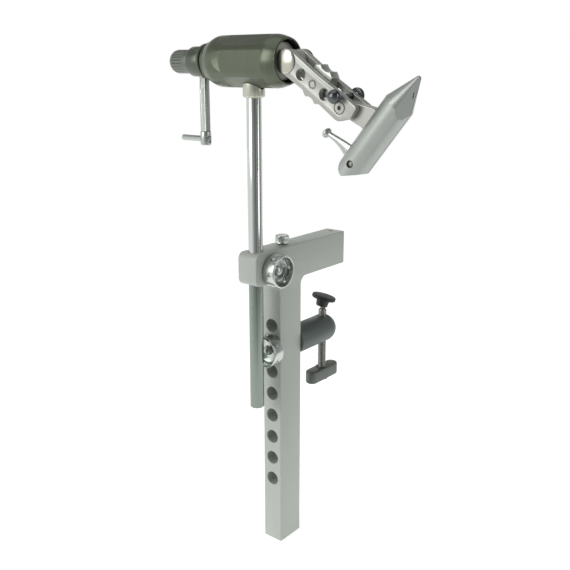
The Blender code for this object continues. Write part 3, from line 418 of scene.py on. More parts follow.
def makeClamp():
    low, high = boxMm("clamp_body")
    throat = boxMm("lower_arm")[0].y - clamp["armGap"]
    back = throat - clamp["barDepth"]
    top = high.z
    nose = clamp["noseRadius"]
    corners = [(low.y, top, nose), (low.y, top - clamp["lugHeight"], nose),
               (back, top - clamp["lugHeight"], clamp["lugRadius"]), (back, low.z, 0), (throat, low.z, 0),
               (throat, 0, clamp["throatRadius"]), (high.y, 0, 0), (high.y, top, 0)]
    form = sheetForm([filleted(corners)], high.x - low.x, clamp["edge"])
    bevelEdges(form, [edge for edge in form.edges if len(edge.link_faces) == 2
                      and edge.calc_face_angle(0) > math.radians(60)], clamp["edge"], 3)
    standUp = Matrix(((0, 0, 1, 0), (1, 0, 0, 0), (0, 1, 0, 0), (0, 0, 0, 1)))
    body = asObject("clampBody", form, standUp)
    cuts = [rodForm(clamp["stemBore"], throughAll, at(0, stemY, top), 64),
            rodForm(clamp["boltBore"], 40, at(0, stemY + clamp["boltForward"], clamp["boltHeight"], turnToX)),
            rodForm(clamp["thumbBore"], 2 * clamp["thumbDepth"],
                    at(0, jointPlace("top_thumbscrew_turn").y, top)),
            rodForm(clamp["markRadius"], 2 * clamp["markDepth"],
                    at(0, high.y - clamp["markInset"], top))]
    radius, sink, past = clamp["holeRadius"], clamp["sink"], clamp["cutterPast"]
    depth, wide = throat - back, radius + sink + past
    for index in range(clamp["holeCount"]):
        # one turned cutter makes the hole and the light countersink at each end
        form = spun([(0, -past), (wide, -past), (radius, sink), (radius, depth - sink), (wide, depth + past),
                     (0, depth + past)], 56)
        form.transform(at(0, back, -clamp["holeFirst"] - index * clamp["holePitch"], turnToBack))
        cuts.append(form)
    carve(body, cuts, Matrix.Identity(4))
    finishPiece(body, "clamp", ["clamp_body"], "enamel")
    print("clamp body")


ringKnob = {"radius": 11.0, "width": 9.0, "wall": 1.4, "floor": 3.0, "edge": 0.7, "bore": 3.05, "boreEdge": 0.3,
            "holeRadius": 0.95, "holeDepth": 6, "sinkFoot": 0.76, "sinkMouth": 2.0, "sinkDepth": 1.9,
            "holeHeight": 5.4, "holeCount": 6, "firstHole": 32}


def makeRingKnob(name, node, turn, start):
    size = ringKnob
    outer, inner, edge, width = size["radius"], size["radius"] - size["wall"], size["edge"], size["width"]
    lip = edge / 2
    bore, floor, ease = size["bore"], size["floor"], size["boreEdge"]
    profile = ([(inner - 0.2, floor + 0.6), (inner, floor + 1.4), (inner, width - lip)]
               + arcPoints((inner + lip, width - lip), lip, 180, 90, 4)
               + arcPoints((outer - edge, width - edge), edge, 90, 0, 5)
               + arcPoints((outer - edge, edge), edge, 0, -90, 5)
               + [(bore + ease, 0), (bore, ease), (bore, floor - ease), (bore + ease, floor),
                  (inner - 0.8, floor)])
    place = Matrix.Translation(start) @ turn
    knob = asObject(name, spun(profile, 96, closed=True), place)
    cuts = []
    for index in range(size["holeCount"]):
        angle = math.radians(size["firstHole"] + 360 / size["holeCount"] * index)
        rim = (at(0, 0, size["holeHeight"]) @ Matrix.Rotation(angle, 4, "Z") @ turnToX
               @ at(0, 0, outer))
        cuts.append(rodForm(size["holeRadius"], size["holeDepth"], rim, 28))
        cuts.append(rodForm(size["sinkFoot"], size["sinkDepth"], rim, 28, size["sinkMouth"]))
    carve(knob, cuts, place)
    finishPiece(knob, node, [node], "knob")


stud = {"thread": 2.75, "pitch": 0.8, "threadDepth": 0.3, "dome": 0.9, "edge": 0.3}


def makeStud(name, node, place, length, bodyRadius, shoulder, foot, cutRadius=0, cutPlace=None):
    # A bolt: domed threaded end, then the plain shank.
    end, pitch, edge = stud["thread"], stud["pitch"], stud["edge"]
    profile = [(0, length), (end * 0.35, length - 0.05), (end * 0.62, length - 0.25),
               (end * 0.85, length - 0.6)]
    height = length - stud["dome"]
    while height - pitch > shoulder:
        profile += [(end, height), (end - stud["threadDepth"], height - pitch / 2)]
        height -= pitch
    profile += [(end, height), (end, shoulder), (bodyRadius - edge, shoulder), (bodyRadius, shoulder - edge),
                (bodyRadius, foot), (0, foot)]
    bolt = asObject(name, spun(profile, 48), place)
    if cutRadius:
        carve(bolt, [rodForm(cutRadius, throughAll, cutPlace, 64)], Matrix.Identity(4))
    finishPiece(bolt, "clamp", [node], "satin")


lowerArm = {"edge": 0.5, "soft": 0.3, "screwBore": 4.8, "studBore": 4.7, "studDepth": 8.3, "roundSteps": 24}


def makeClampFittings():
    halfWidth = boxMm("clamp_body")[1].x
    boltPlace = Matrix.Translation(jointPlace("stem_knob_turn"))
    knobStart = Vector((halfWidth + 0.3, boltPlace.translation.y, boltPlace.translation.z))
    makeRingKnob("stemKnob", "stem_knob", turnToX, knobStart)
    knobFoot = boxMm("arm_knob")[1].y
    armZ = jointPlace("arm_knob_turn").z
    makeRingKnob("armKnob", "arm_knob", turnToFront, Vector((0, knobFoot, armZ)))
    low, high = boxMm("draw_bolt")
    makeStud("drawBolt", "draw_bolt", at(0, boltPlace.translation.y, boltPlace.translation.z, turnToX),
             high.x, 4.0, halfWidth - 0.3, low.x, 5.05, at(0, stemY, 0))
    low, high = boxMm("arm_stud")
    makeStud("armStud", "arm_stud", at(0, 0, armZ, turnToFront), -low.y, 4.4,
             -knobFoot - 0.4, -high.y)

    low, high = boxMm("lower_arm")
    radius, edge = high.y, lowerArm["edge"]
    profile = domeProfile(radius, 0, 90, lowerArm["roundSteps"])
    profile += [(radius, low.y + edge), (radius - edge * 0.3, low.y + edge * 0.3), (radius - edge, low.y),
                (0, low.y)]
    place = at(0, 0, armZ, turnToBack)
    arm = asObject("lowerArm", spun(profile, 96), place)
    carve(arm, [rodForm(lowerArm["screwBore"], throughAll, turnToFront, 56),
                rodForm(lowerArm["studBore"], 2 * lowerArm["studDepth"], at(0, 0, low.y), 56)],
          place)
    softenEdges(arm, lowerArm["soft"], 2, 40)
    finishPiece(arm, "clamp", ["lower_arm"], "arm")
    print("knobs and lower arm")


thumbScrew = {"radius": 4.7, "height": 5.5, "lift": 0.6, "shank": 2.7, "neck": 2.9, "ridges": 28,
              "ridgeDepth": 0.28, "shankLength": 10.0}


def makeThumbscrew():
    size = thumbScrew
    radius, height, lift = size["radius"], size["height"], size["lift"]
    profile = [(0, lift + height - 0.25), (radius * 0.45, lift + height - 0.2), (radius * 0.7, lift + height),
               (radius - 0.5, lift + height), (radius - 0.1, lift + height - 0.4),
               (radius, lift + height - 0.7), (radius, lift + height - 1.0), (radius, lift + 1.3),
               (radius - 0.05, lift + 1.0), (radius - 0.5, lift + 0.8), (radius - 0.5, lift + 0.5),
               (radius - 0.3, lift + 0.25), (radius - 0.6, lift), (size["neck"], lift), (size["neck"], 0),
               (size["shank"], -0.3), (size["shank"], -size["shankLength"]), (0, -size["shankLength"])]
    form = spun(profile, size["ridges"] * 4)
    for point in form.verts:
        if lift + 1.2 < point.co.z < lift + height - 0.9:
            angle = math.atan2(point.co.y, point.co.x)
            wave = 0.5 - 0.5 * math.cos(angle * size["ridges"])
            point.co.xy *= 1 - size["ridgeDepth"] * wave / radius
    base = jointPlace("top_thumbscrew_turn")
    screw = asObject("topThumbscrew", form, at(0, base.y, base.z + 0.3))
    finishPiece(screw, "top_thumbscrew", ["top_thumbscrew"], "knob", 50)


clampScrew = {"radius": 3.0, "pitch": 1.25, "depth": 0.35, "bore": 1.8, "boreDepth": 4.3, "plainFoot": 8,
              "barEdge": 1.2, "cornerLess": 0.15, "plugHeight": 2.0, "plugSink": 0.1, "plugEdge": 0.3,
              "neck": 1.5, "ballEnd": 144}


def makeClampScrew():
    size = clampScrew
    low, high = boxMm("clamp_screw")
    radius, pitch = size["radius"], size["pitch"]
    bore, boreFloor = size["bore"], high.z - size["boreDepth"]
    profile = [(bore, high.z), (radius - 0.9, high.z), (radius - 0.15, high.z - 1.0), (radius, high.z - 1.3),
               (radius, high.z - 3.4)]
    height = high.z - 3.6
    while height - pitch > low.z + size["plainFoot"]:
        profile += [(radius - size["depth"], height), (radius, height - pitch * 0.42),
                    (radius, height - pitch * 0.58)]
        height -= pitch
    profile += [(radius - size["depth"], height), (radius, height - 0.5), (radius, low.z), (0, low.z),
                (0, boreFloor), (bore, boreFloor)]
    upright = Matrix.Identity(4)
    turnedPiece("clampScrew", profile, 48, upright, "clamp_screw", ["clamp_screw"], "screw",
                True)

    low, high = boxMm("handle_bar")
    half = (high - low) / 2
    corner = half.x - size["cornerLess"]
    outline = filleted([(x * half.x, y * half.y, corner) for x, y in ((-1, -1), (1, -1), (1, 1), (-1, 1))], 14)
    form = sheetForm([outline, hole(0, 0, radius + 0.3)], 2 * half.z, size["barEdge"])
    bar = asObject("handleBar", form, at(0, 0, (low.z + high.z) / 2))
    finishPiece(bar, "clamp_screw", ["handle_bar"], "handle")
    foot = low.z + size["plugSink"]
    profile = rodProfile(radius - 0.1, foot + size["plugHeight"], foot, size["plugEdge"])
    turnedPiece("handlePlug", profile, 48, upright, "clamp_screw", [], "handle")

    low, high = boxMm("screw_ball")
    centre = jointPlace("pad_tilt").z
    ball, neck = high.z - centre, size["neck"]
    profile = domeProfile(ball, 0, size["ballEnd"], 16)
    profile += [(neck, -ball * 0.86), (neck, low.z - centre), (0, low.z - centre)]
    turnedPiece("screwBall", profile, 40, at(0, 0, centre), "screw_ball", ["screw_ball"],
                "screw")


pad = {"radius": 8.85, "rim": 2.8, "dome": 0.7, "hubRadius": 4.8, "hubHeight": 5.4, "below": 2.4,
       "edge": 0.7, "socket": 2.9, "socketStart": -34, "hubTaper": 0.90, "mouth": 2.8}


def makePad():
    size = pad
    low, radius = size["below"], size["radius"]
    top, edge, foot = low + size["rim"], size["edge"], size["below"] - size["hubHeight"]
    profile = [(0, top + size["dome"]), (radius * 0.4, top + size["dome"] * 0.85),
               (radius * 0.75, top + size["dome"] * 0.35)]
    profile += arcPoints((radius - edge, top - edge), edge, 90, 0, 5)
    profile += arcPoints((radius - edge, low + edge), edge, 0, -90, 5)
    hub = size["hubRadius"]
    profile += [(hub + 0.7, low), (hub + 0.15, low - 0.25), (hub, low - 0.8),
                (hub * size["hubTaper"], foot + 0.5), (hub * size["hubTaper"] - 0.4, foot),
                (size["mouth"], foot)]
    profile += arcPoints((0, 0), size["socket"], size["socketStart"], 90, 12)[:-1] + [(0, size["socket"])]
    tilt = Vector((0, 0, 1)).rotation_difference(Vector(mounts["clamp_pad"]["axis"]))
    place = Matrix.Translation(jointPlace("pad_tilt")) @ tilt.to_matrix().to_4x4()
    turnedPiece("swivelPad", profile, 72, place, "swivel_pad", ["swivel_pad"], "plastic")
    print("clamp screw and pad")


# The stem and the head
def shadedStemFinish(level):
    # Chrome that turns dark grey and rougher below the clamp's bore; the grey is painted shade there.
    fade = 0.002
    bench = Bench("stemChromePaintedShade", 0.12, 1.0)
    fine = bench.noise(bench.mapped((1, 1, 6)), 260, 4, 0.6)
    height = bench.node("ShaderNodeSeparateXYZ", {}, {"Vector": bench.place}, output=2)
    lower = bench.node("ShaderNodeMapRange", {}, {"Value": height, "From Min": level + fade,
                                                  "From Max": level - fade})
    # the second colour is painted shade, blended in below the level
    bright, paintedShade = (0.62, 0.65, 0.62), (0.22, 0.26, 0.23)
    bench.feed("Base Color", bench.blendColours(lower * 0.9 + fine * 0.1, bright, paintedShade))
    bench.feed("Roughness", lower * 0.16 + fine * 0.04 + 0.10)
    bench.bump(fine, 0.02, 0.00002)
    return bench.material


barrel = {"radius": 15.5, "rearRadius": 12.2, "mouthRadius": 13.45, "frontRound": 8.5, "rearRound": 11.0,
          "power": 1.65, "bore": 10.0, "mouthBore": 12.2, "mouthDepth": 16.3, "flatDistance": 14.15,
          "flatRear": -16.2, "flatFront": 17.8, "flatCount": 6, "runOutRadius": 13.0, "runOutSlope": 3.0,
          "runOutReach": 4, "cutDepth": 6.0, "edge": 0.2, "neck": 3.4, "neckRadius": 12.0, "neckStep": 0.7,
          "stemSeat": 11.5, "seatRadius": 5.05, "seatLength": 10}


def makeHead():
    size = barrel
    low, high = boxMm("housing")
    rear, mouth, full = low.x, high.x, size["radius"]

    def shoulder(endRadius, end, start, steps=18):
        points = []
        for index in range(steps + 1):
            share = 1 - index / steps
            points.append((full - (full - endRadius) * share ** size["power"],
                           start + (end - start) * share))
        return points

    nose = shoulder(size["mouthRadius"], mouth - 0.25, mouth - size["frontRound"])
    tail = shoulder(size["rearRadius"] + size["neckStep"], rear + size["neck"], rear + size["rearRound"])[::-1]
    step = mouth - size["mouthDepth"]
    profile = ([(size["mouthBore"] + 0.2, mouth), (size["mouthRadius"] - 0.3, mouth)] + nose + tail
               + [(size["neckRadius"], rear + size["neck"] - 0.2), (size["neckRadius"], rear + 0.4),
                  (size["neckRadius"] - 0.35, rear), (size["bore"], rear), (size["bore"], step),
                  (size["mouthBore"], step), (size["mouthBore"], mouth - 0.2)])
    place = headPlace @ turnToX
    housing = asObject("barrelHousing", spun(profile, 144, closed=True), place)
    cuts = []
    depth, centreX = size["cutDepth"], size["flatRear"] + size["runOutRadius"]
    length = size["flatFront"] - centreX
    for index in range(size["flatCount"]):
        face = (Matrix.Rotation(2 * math.pi / size["flatCount"] * index, 4, "X")
                @ at(0, -size["flatDistance"] - depth / 2, 0))
        cuts.append(blockForm((length, depth, 40)))
        cuts[-1].transform(face @ at(centreX + length / 2, 0, 0))
        cuts.append(rodForm(size["runOutRadius"], depth,
                            face @ at(centreX, 0, 0, turnToFront), 96,
                            size["runOutRadius"] + depth * size["runOutSlope"]))
    for cut in cuts[1::2]:                # the run-out cones stop short of the front step
        bmesh.ops.bisect_plane(cut, geom=cut.verts[:] + cut.edges[:] + cut.faces[:],
                               plane_co=(centreX + size["runOutReach"], 0, 0), plane_no=(1, 0, 0),
                               clear_outer=True)
        bmesh.ops.holes_fill(cut, edges=[edge for edge in cut.edges if edge.is_boundary], sides=0)
        bmesh.ops.recalc_face_normals(cut, faces=cut.faces)
    seat = rodForm(size["seatRadius"], size["seatLength"],
                   at(0, 0, -size["stemSeat"] - size["seatLength"] / 2), 56)
    carve(housing, cuts + [seat], headPlace)
    softenEdges(housing, size["edge"], 2, 9)
    finishPiece(housing, "head", ["housing"], "olive", 28)

    print("barrel")


collar = {"edge": 1.0, "bore": 5.05, "boreEdge": 0.3, "saddleGap": 0.3, "screwBore": 1.8, "screwDepth": 12,
          "screwY": 9, "screwRise": 1.5, "stemRadius": 4.75, "stemEdge": 0.8, "paintedShadeBelow": 6}


def makeStem():
    size, place = collar, at(0, stemY, 0)
    low, high = boxMm("stem")
    # the stem's chrome gets painted shade from this height down
    finishes["stem"] = shadedStemFinish((jointPlace("stem_knob_turn").z - size["paintedShadeBelow"]) * metresPerMm)
    turnedPiece("stemRod", rodProfile(size["stemRadius"], high.z, low.z, size["stemEdge"]), 96, place, "stem",
                ["stem"], "stem")

    low, high = boxMm("collar")
    outer, edge, bore = high.x, size["edge"], size["bore"]
    profile = [(outer, high.z), (outer, low.z + edge), (outer - 0.2, low.z + edge - 0.35),
               (outer - edge, low.z), (bore + size["boreEdge"], low.z), (bore, low.z + size["boreEdge"]), (bore, high.z)]
    ring = asObject("stemCollar", spun(profile, 96, closed=True), place)
    halfTurn = math.pi / barrel["flatCount"]
    saddle = rodForm((barrel["flatDistance"] + size["saddleGap"]) / math.cos(halfTurn), throughAll,
                     turnToX @ Matrix.Rotation(halfTurn, 4, "Z"), barrel["flatCount"])
    screwZ = boxMm("collar_set_screw")[0].z - headZ + size["screwRise"]
    drill = rodForm(size["screwBore"], size["screwDepth"],
                    at(0, size["screwY"], screwZ, turnToBack), 32)
    carve(ring, [saddle, drill], headPlace)
    finishPiece(ring, "head", ["collar"], "collar")
    print("stem and collar")


rearStack = {"ringRadius": 11.0, "ringNeck": 9.2, "ringLip": 0.5, "ringWidth": 1.8, "hubRadius": 9.3,
             "hubEdge": 0.9, "bore": 6.3, "slotTop": -7.1, "slot": (5.5, 5.0, 10), "screwBore": 1.8,
             "screwDepth": 12, "screwY": 10}
crank = {"halfX": 2.45, "halfY": 2.2, "edge": 0.35, "bossRadius": 3.55, "bossTop": -43.3, "bossBottom": -52.5,
         "bossEdge": 0.8, "overlap": 2, "relief": (2.9, 1.0, 7.4), "reliefZ": -13.4, "reliefEdge": 0.3,
         "eye": 2.2, "eyeLength": 20, "gripZ": -48.5, "grip": 1.9, "soft": 0.15}
crankX = boxMm("handle_pin")[1].x - crank["bossRadius"]


def makeRearStack():
    size = rearStack
    place = headPlace @ turnToX
    low, high = boxMm("retaining_ring")
    neck, outer, lip, bore = size["ringNeck"], size["ringRadius"], size["ringLip"], size["bore"]
    groove = high.x - size["ringWidth"]
    profile = [(neck - 0.2, high.x), (neck, high.x - 0.2), (neck, groove + 0.2), (neck + 0.3, groove),
               (outer - lip, groove), (outer, groove - lip), (outer, low.x + lip), (outer - lip, low.x),
               (bore, low.x), (bore, high.x)]
    turnedPiece("retainingRing", profile, 96, place, "spindle", ["retaining_ring"], "darkRing",
                True)

    low, high = boxMm("crank_hub")
    profile = tubeProfile(size["hubRadius"], bore, high.x, low.x, size["hubEdge"])
    hub = asObject("crankHub", spun(profile, 96, closed=True), place)
    slot = blockForm(size["slot"], (crankX, 0, size["slotTop"] - size["slot"][2] / 2))
    screwLow, screwHigh = boxMm("hub_set_screw")
    drill = rodForm(size["screwBore"], size["screwDepth"],
                    at((screwLow.x + screwHigh.x) / 2, size["screwY"], 0, turnToBack), 32)
    carve(hub, [slot, drill], headPlace)
    finishPiece(hub, "spindle", ["crank_hub"], "hub")
    print("retaining ring and hub")


dragKnob = {"radius": 7.45, "flutes": 22, "fluteDepth": 0.42, "fluteEnd": -54.2, "fluteFade": 1.2,
            "domeLength": 6.7, "centreRadius": 2.2, "centreFade": 3.0, "floorDepth": 12.5, "bore": 3.3,
            "counterBore": 5.8, "counterDepth": 4.5}


def makeDragKnob():
    size = dragKnob
    low, high = boxMm("drag_knob")
    radius, dome, fluteEnd, fade = size["radius"], size["domeLength"], size["fluteEnd"], size["fluteFade"]
    span = fluteEnd - (low.x + dome)
    profile = [(radius - 0.6, high.x), (radius - 0.15, high.x - 0.2), (radius, high.x - 0.6)]
    profile += [(radius, fluteEnd + fade * (1 - index / 2)) for index in range(3)]
    profile += [(radius, fluteEnd - span * index / 6) for index in range(1, 6)]
    for height, share in arcPoints((0, 0), 1, 90, 180, 14):
        profile.append((radius * share, low.x + dome * (1 + height)))
    floor, counter = high.x - size["floorDepth"], high.x - size["counterDepth"]
    profile[-1] = (0, low.x)
    profile += [(0, floor), (size["bore"], floor), (size["bore"], counter), (size["counterBore"], counter),
                (size["counterBore"], high.x)]
    form = spun(profile, size["flutes"] * 8, closed=True)
    for point in form.verts:
        reach = math.hypot(point.co.x, point.co.y)
        outside = reach > size["counterBore"] + 0.1
        if outside or (point.co.z < floor - 0.5 and reach > size["centreRadius"]):
            angle = math.atan2(point.co.y, point.co.x)
            groove = max(0.0, math.cos(angle * size["flutes"])) ** 3
            start = min(1.0, max(0.0, (fluteEnd - point.co.z) / fade))
            finish = min(1.0, max(0.0, (reach - size["centreRadius"]) / size["centreFade"]))
            point.co.xy *= 1 - size["fluteDepth"] * groove * start * finish / reach
    knob = asObject("dragKnob", form, headPlace @ turnToX)
    finishPiece(knob, "drag_knob", ["drag_knob"], "drag", 40)
    print("drag knob")


def makeCrank():
    size = crank
    top = boxMm("crank_arm")[1].z - headZ
    bossTop, overlap = size["bossTop"], size["overlap"]
    arm = asObject("crankArm", blockForm((2 * size["halfX"], 2 * size["halfY"], top - bossTop + overlap),
                                         (crankX, 0, (top + bossTop - overlap) / 2), size["edge"]), headPlace)
    boss = spun(rodProfile(size["bossRadius"], bossTop, size["bossBottom"], size["bossEdge"]), 56)
    boss.transform(at(crankX, 0, 0))
    carve(arm, [boss], headPlace, "UNION")
    relief = blockForm(size["relief"], (crankX, -size["halfY"], size["reliefZ"]), size["reliefEdge"])
    eye = rodForm(size["eye"], size["eyeLength"], at(crankX, 0, size["gripZ"], turnToX), 40)
    carve(arm, [relief, eye], headPlace)
    softenEdges(arm, size["soft"], 2, 40)
    finishPiece(arm, "spindle", ["crank_arm"], "satin", 40)

    # the grip has a fine groove where it leaves the boss
    low, high = boxMm("handle_pin")
    grip = size["grip"]
    profile = [(0, high.x), (grip - 0.4, high.x), (grip, high.x - 0.4), (grip, high.x - 6.6),
               (grip - 0.2, high.x - 6.9), (grip, high.x - 7.2), (grip, low.x + 0.5), (grip - 0.15, low.x + 0.15),
               (grip - 0.5, low.x), (0, low.x)]
    turnedPiece("crankGrip", profile, 40, headPlace @ at(0, 0, size["gripZ"], turnToX),
                "spindle", ["handle_pin"], "satin")
    print("crank")


spindle = {"bossFront": 24.0, "bossRear": 13.0, "bossRadius": 11.0, "bossEdge": 0.7, "shaft": 6, "tail": 3,
           "tongue": 6.5, "tongueFoot": 21, "tongueWidth": 8, "tongueEdge": 0.3, "boltBore": 2.8}


def makeSpindle():
    size = spindle
    place = headPlace @ turnToX
    front, radius, edge = size["bossFront"], size["bossRadius"], size["bossEdge"]
    shaft, tail = size["shaft"], size["tail"]
    rear, end = boxMm("crank_hub")[0].x + 0.3, boxMm("spindle")[0].x
    profile = [(0, front), (radius - edge, front), (radius - 0.2, front - 0.2), (radius, front - edge),
               (radius, size["bossRear"]), (shaft, size["bossRear"]), (shaft, rear), (tail, rear), (tail, end),
               (0, end)]
    piece = asObject("spindleShaft", spun(profile, 96), place)
    pivotX, half = linkStart.x, size["tongue"]
    foot = size["tongueFoot"]
    outline = arcPoints((pivotX, 0), half, -90, 90, 24) + [(foot, half), (foot, -half)]
    tongue = sheetForm([outline], size["tongueWidth"], size["tongueEdge"])
    tongue.transform(turnToFront)
    carve(piece, [tongue], headPlace, "UNION")
    bore = rodForm(size["boltBore"], throughAll / 2, at(pivotX, 0, 0, turnToFront), 40)
    carve(piece, [bore], headPlace)
    finishPiece(piece, "spindle", ["spindle"], "plate")
    print("spindle")


# The link
plates = {"inner": 4.3, "thickness": 4.0, "root": 7.0, "waist": 6.2, "end": 7.0, "endLess": 0.3, "overrun": 9.3,
          "step": 6.2, "edge": 0.35, "lightHoles": (13.3, 32.8), "lightRadius": 3.3, "boltBore": 2.8,
          "axleBore": 2.5, "nearEndBore": 3.5, "farEndBore": 2.3, "lockBore": 1.6}
plateFace = plates["inner"] + plates["thickness"]
wheelAlong = (jointPlace("scallop_wheel_turn") - linkStart).length
lockAt = linkPlace.inverted() @ jointPlace("lock_screw_turn")


def acrossLink(along, height=0, turn=turnToFront):
    # The place of something that crosses the link, with its own Z towards the near side.
    return linkPlace @ at(along, 0, height) @ turn


def makePlates():
    size = plates
    end, half, upper = linkLength + size["overrun"], size["end"], size["end"] - size["endLess"]
    nose = filleted([(linkLength, -half, 0), (end - size["step"], -half, 5.0), (end, size["step"] - half, 3.0),
                     (end, upper, 1.4), (linkLength, upper, 0)], 6)[1:-1]
    outline = (arcPoints((0, 0), size["root"], 96, 264, 32)
               + [(wheelAlong, -size["waist"]), (linkLength, -half)] + nose
               + [(linkLength, upper), (wheelAlong, size["waist"])])
    for name, node, side, endBore in (("nearPlate", "near_plate", -1, size["nearEndBore"]),
                                      ("farPlate", "far_plate", 1, size["farEndBore"])):
        holes = [hole(0, 0, size["boltBore"]), hole(wheelAlong, 0, size["axleBore"]),
                 hole(linkLength, 0, endBore), hole(lockAt.x, lockAt.z, size["lockBore"])]
        holes += [hole(along, 0, size["lightRadius"]) for along in size["lightHoles"]]
        form = sheetForm([outline] + holes, size["thickness"], size["edge"])
        middle = side * (size["inner"] + size["thickness"] / 2)
        plate = asObject(name, form, linkPlace @ at(0, middle, 0, turnToFront))
        finishPiece(plate, "link", [node], "plate", 30)
    print("link plates")


pivot = {"gap": 0.25, "domeSquash": 0.85, "shank": 2.5, "shankPast": 1.8, "nutBore": 2.8, "nutWidth": 1.8,
         "nutGap": 0.3, "nutEdge": 0.5,
         "dome": ((0, 2.05), (0.3, 1.95), (0.6, 1.55), (0.82, 1.05), (0.94, 0.7), (1, 0.35), (1, 0.1))}
wheel = {"radius": 11.0, "notch": 5.6, "notchAway": 14.6, "lobes": 6, "turn": 28, "thickness": 7.4, "edge": 0.5,
         "bore": 2.75, "pinRadius": 2.42, "ring": 1.75, "ringWidth": 0.42, "ringDepth": 1.2, "ringEdge": 0.1,
         "bridge": (1.2, 1.3, 1.0), "bridgeSink": 0.66}


def makePivot():
    size, radius, face = pivot, plates["root"], plateFace
    profile = [(radius * share, face + size["gap"] + height * size["domeSquash"])
               for share, height in size["dome"]]
    profile += [(radius - 0.3, face + size["gap"] + 0.05 * size["domeSquash"]), (size["shank"], face + 0.3),
                (size["shank"], -face - size["shankPast"]), (0, -face - size["shankPast"])]
    turnedPiece("pivotBolt", profile, 72, acrossLink(0), "link", ["pivot_bolt"], "dome")
    foot = face + size["nutGap"]
    profile = tubeProfile(radius, size["nutBore"], foot + size["nutWidth"], foot, size["nutEdge"])
    turnedPiece("pivotNut", profile, 72, acrossLink(0, 0, turnToBack), "link", ["pivot_nut"],
                "nut", True)
    print("pivot bolt and nut")


def makeWheel():
    # the wheel turns on a pin whose end shows a fine open ring
    size, face = wheel, plateFace
    ring, outer, edge = size["ring"], size["pinRadius"], size["ringEdge"]
    wide, floor = ring + size["ringWidth"], face - size["ringDepth"]
    profile = [(0, face), (ring - edge, face), (ring, face - edge), (ring, floor), (wide, floor),
               (wide, face - edge), (outer, face), (outer, -face), (0, -face)]
    pin = asObject("wheelPin", spun(profile, 56), acrossLink(wheelAlong))
    bridge = blockForm(size["bridge"], (wheelAlong + ring + edge, -face + size["bridgeSink"], 0))
    carve(pin, [bridge], linkPlace, "UNION")
    finishPiece(pin, "link", ["wheel_axle"], "plate")

    radius, notch, away = size["radius"], size["notch"], size["notchAway"]
    half = math.pi / size["lobes"]
    spread = math.acos((away ** 2 + radius ** 2 - notch ** 2) / (2 * away * radius))
    bite = math.degrees(math.acos((away ** 2 + notch ** 2 - radius ** 2) / (2 * away * notch)))
    outline = []
    for lobe in range(size["lobes"]):
        middle = math.radians(size["turn"]) + 2 * half * lobe + linkTilt
        first, last = math.degrees(middle - half + spread), math.degrees(middle + half - spread)
        outline += arcPoints((0, 0), radius, first, last, 4)
        centre = arcPoints((0, 0), away, math.degrees(middle + half), 0, 1)[0]
        start = math.degrees(middle + half) + 180 + bite
        outline += arcPoints(centre, notch, start, start - 2 * bite, 12)[1:-1]
    form = sheetForm([outline, hole(0, 0, size["bore"])], size["thickness"], size["edge"])
    piece = asObject("scallopWheel", form, acrossLink(wheelAlong))
    finishPiece(piece, "scallop_wheel", ["scallop_wheel"], "wheel", 40)
    print("wheel")


fasteners = {"head": 3.25, "headDepth": 2.0, "shank": 2.0, "socket": 1.45, "socketLength": 3.6,
             "sleeveOuter": 3.4, "sleeveInner": 2.3, "sleeveLength": 1.5, "sleeveGap": 0.1,
             "ball": 3.9, "ballOut": 12.4, "ballEnd": 156, "lockShank": 1.3, "lockPast": 2.7,
             "nut": 4.5, "nutBore": 1.6, "nutGap": 0.3, "nutEdge": 0.5}


def makeLinkFasteners():
    size, face = fasteners, plateFace
    head, shank, base = size["head"], size["shank"], face - size["headDepth"]
    profile = [(0, face), (head - 0.25, face), (head - 0.05, face - 0.15), (head, face - 0.4), (shank, base),
               (shank, -face), (0, -face)]
    screw = asObject("endScrew", spun(profile, 56), acrossLink(linkLength))
    socket = rodForm(size["socket"], size["socketLength"],
                     at(linkLength, -face, 0, turnToFront), 6)
    carve(screw, [socket], linkPlace)
    finishPiece(screw, "link", ["end_screw"], "plate")
    foot = plates["inner"] + size["sleeveGap"]
    profile = tubeProfile(size["sleeveOuter"], size["sleeveInner"], foot + size["sleeveLength"], foot, 0.1)
    turnedPiece("endSleeve", profile, 48, acrossLink(linkLength), "link", [], "nut", True)

    ball, out, past = size["ball"], size["ballOut"], -face - size["lockPast"]
    profile = domeProfile(ball, 0, size["ballEnd"], 28, out)
    profile += [(size["lockShank"], out - ball + 0.1), (size["lockShank"], past), (0, past)]
    turnedPiece("lockBall", profile, 64, acrossLink(lockAt.x, lockAt.z), "lock_screw", ["lock_screw"],
                "ball")
    profile = tubeProfile(size["nut"], size["nutBore"], -past, face + size["nutGap"], size["nutEdge"])
    turnedPiece("lockNut", profile, 56, acrossLink(lockAt.x, lockAt.z, turnToBack), "link", ["lock_nut"],
                "nut", True)
    print("link fasteners")


# The jaws
jaws = {"radius": 8.65, "taperStart": 35.0, "tip": 53.5, "tipRadius": 1.2, "split": 0.4, "heelRadius": 8.95,
        "pinAlong": -6.0, "pinAcross": 0.3, "pinRadius": 1.75, "pinRecess": 2.15, "edge": 0.22,
        "tongueHalf": 3.8, "tongueRoot": 4.2, "tongueLow": -0.8, "tongueHigh": 12.0, "bite": 3.6,
        "tipSlotAlong": 44.6, "tipSlotLength": 3.0, "tipSlotWidth": 0.8,
        "tipSlotAcross": 5.4, "tipSlotY": -1.3, "facetFrom": -71, "facetTo": -6, "facetShare": 0.8,
        "stockFoot": -20, "leverSlot": 3.4, "slotAcross": 4.7, "slotLength": 9.4, "heelSlot": 17.9,
        "pocket": 3.1, "pocketLength": 6, "pocketAlong": 12, "pivotBore": 2.3, "tongueEdge": 0.3}
jawPlace = axesAt(jawTip - jawUp * jaws["tip"], Vector((0, 1, 0)).cross(jawUp), jawUp)
crossPinPlace = jawPlace @ at(jaws["pinAcross"], 0, jaws["pinAlong"], turnToFront)


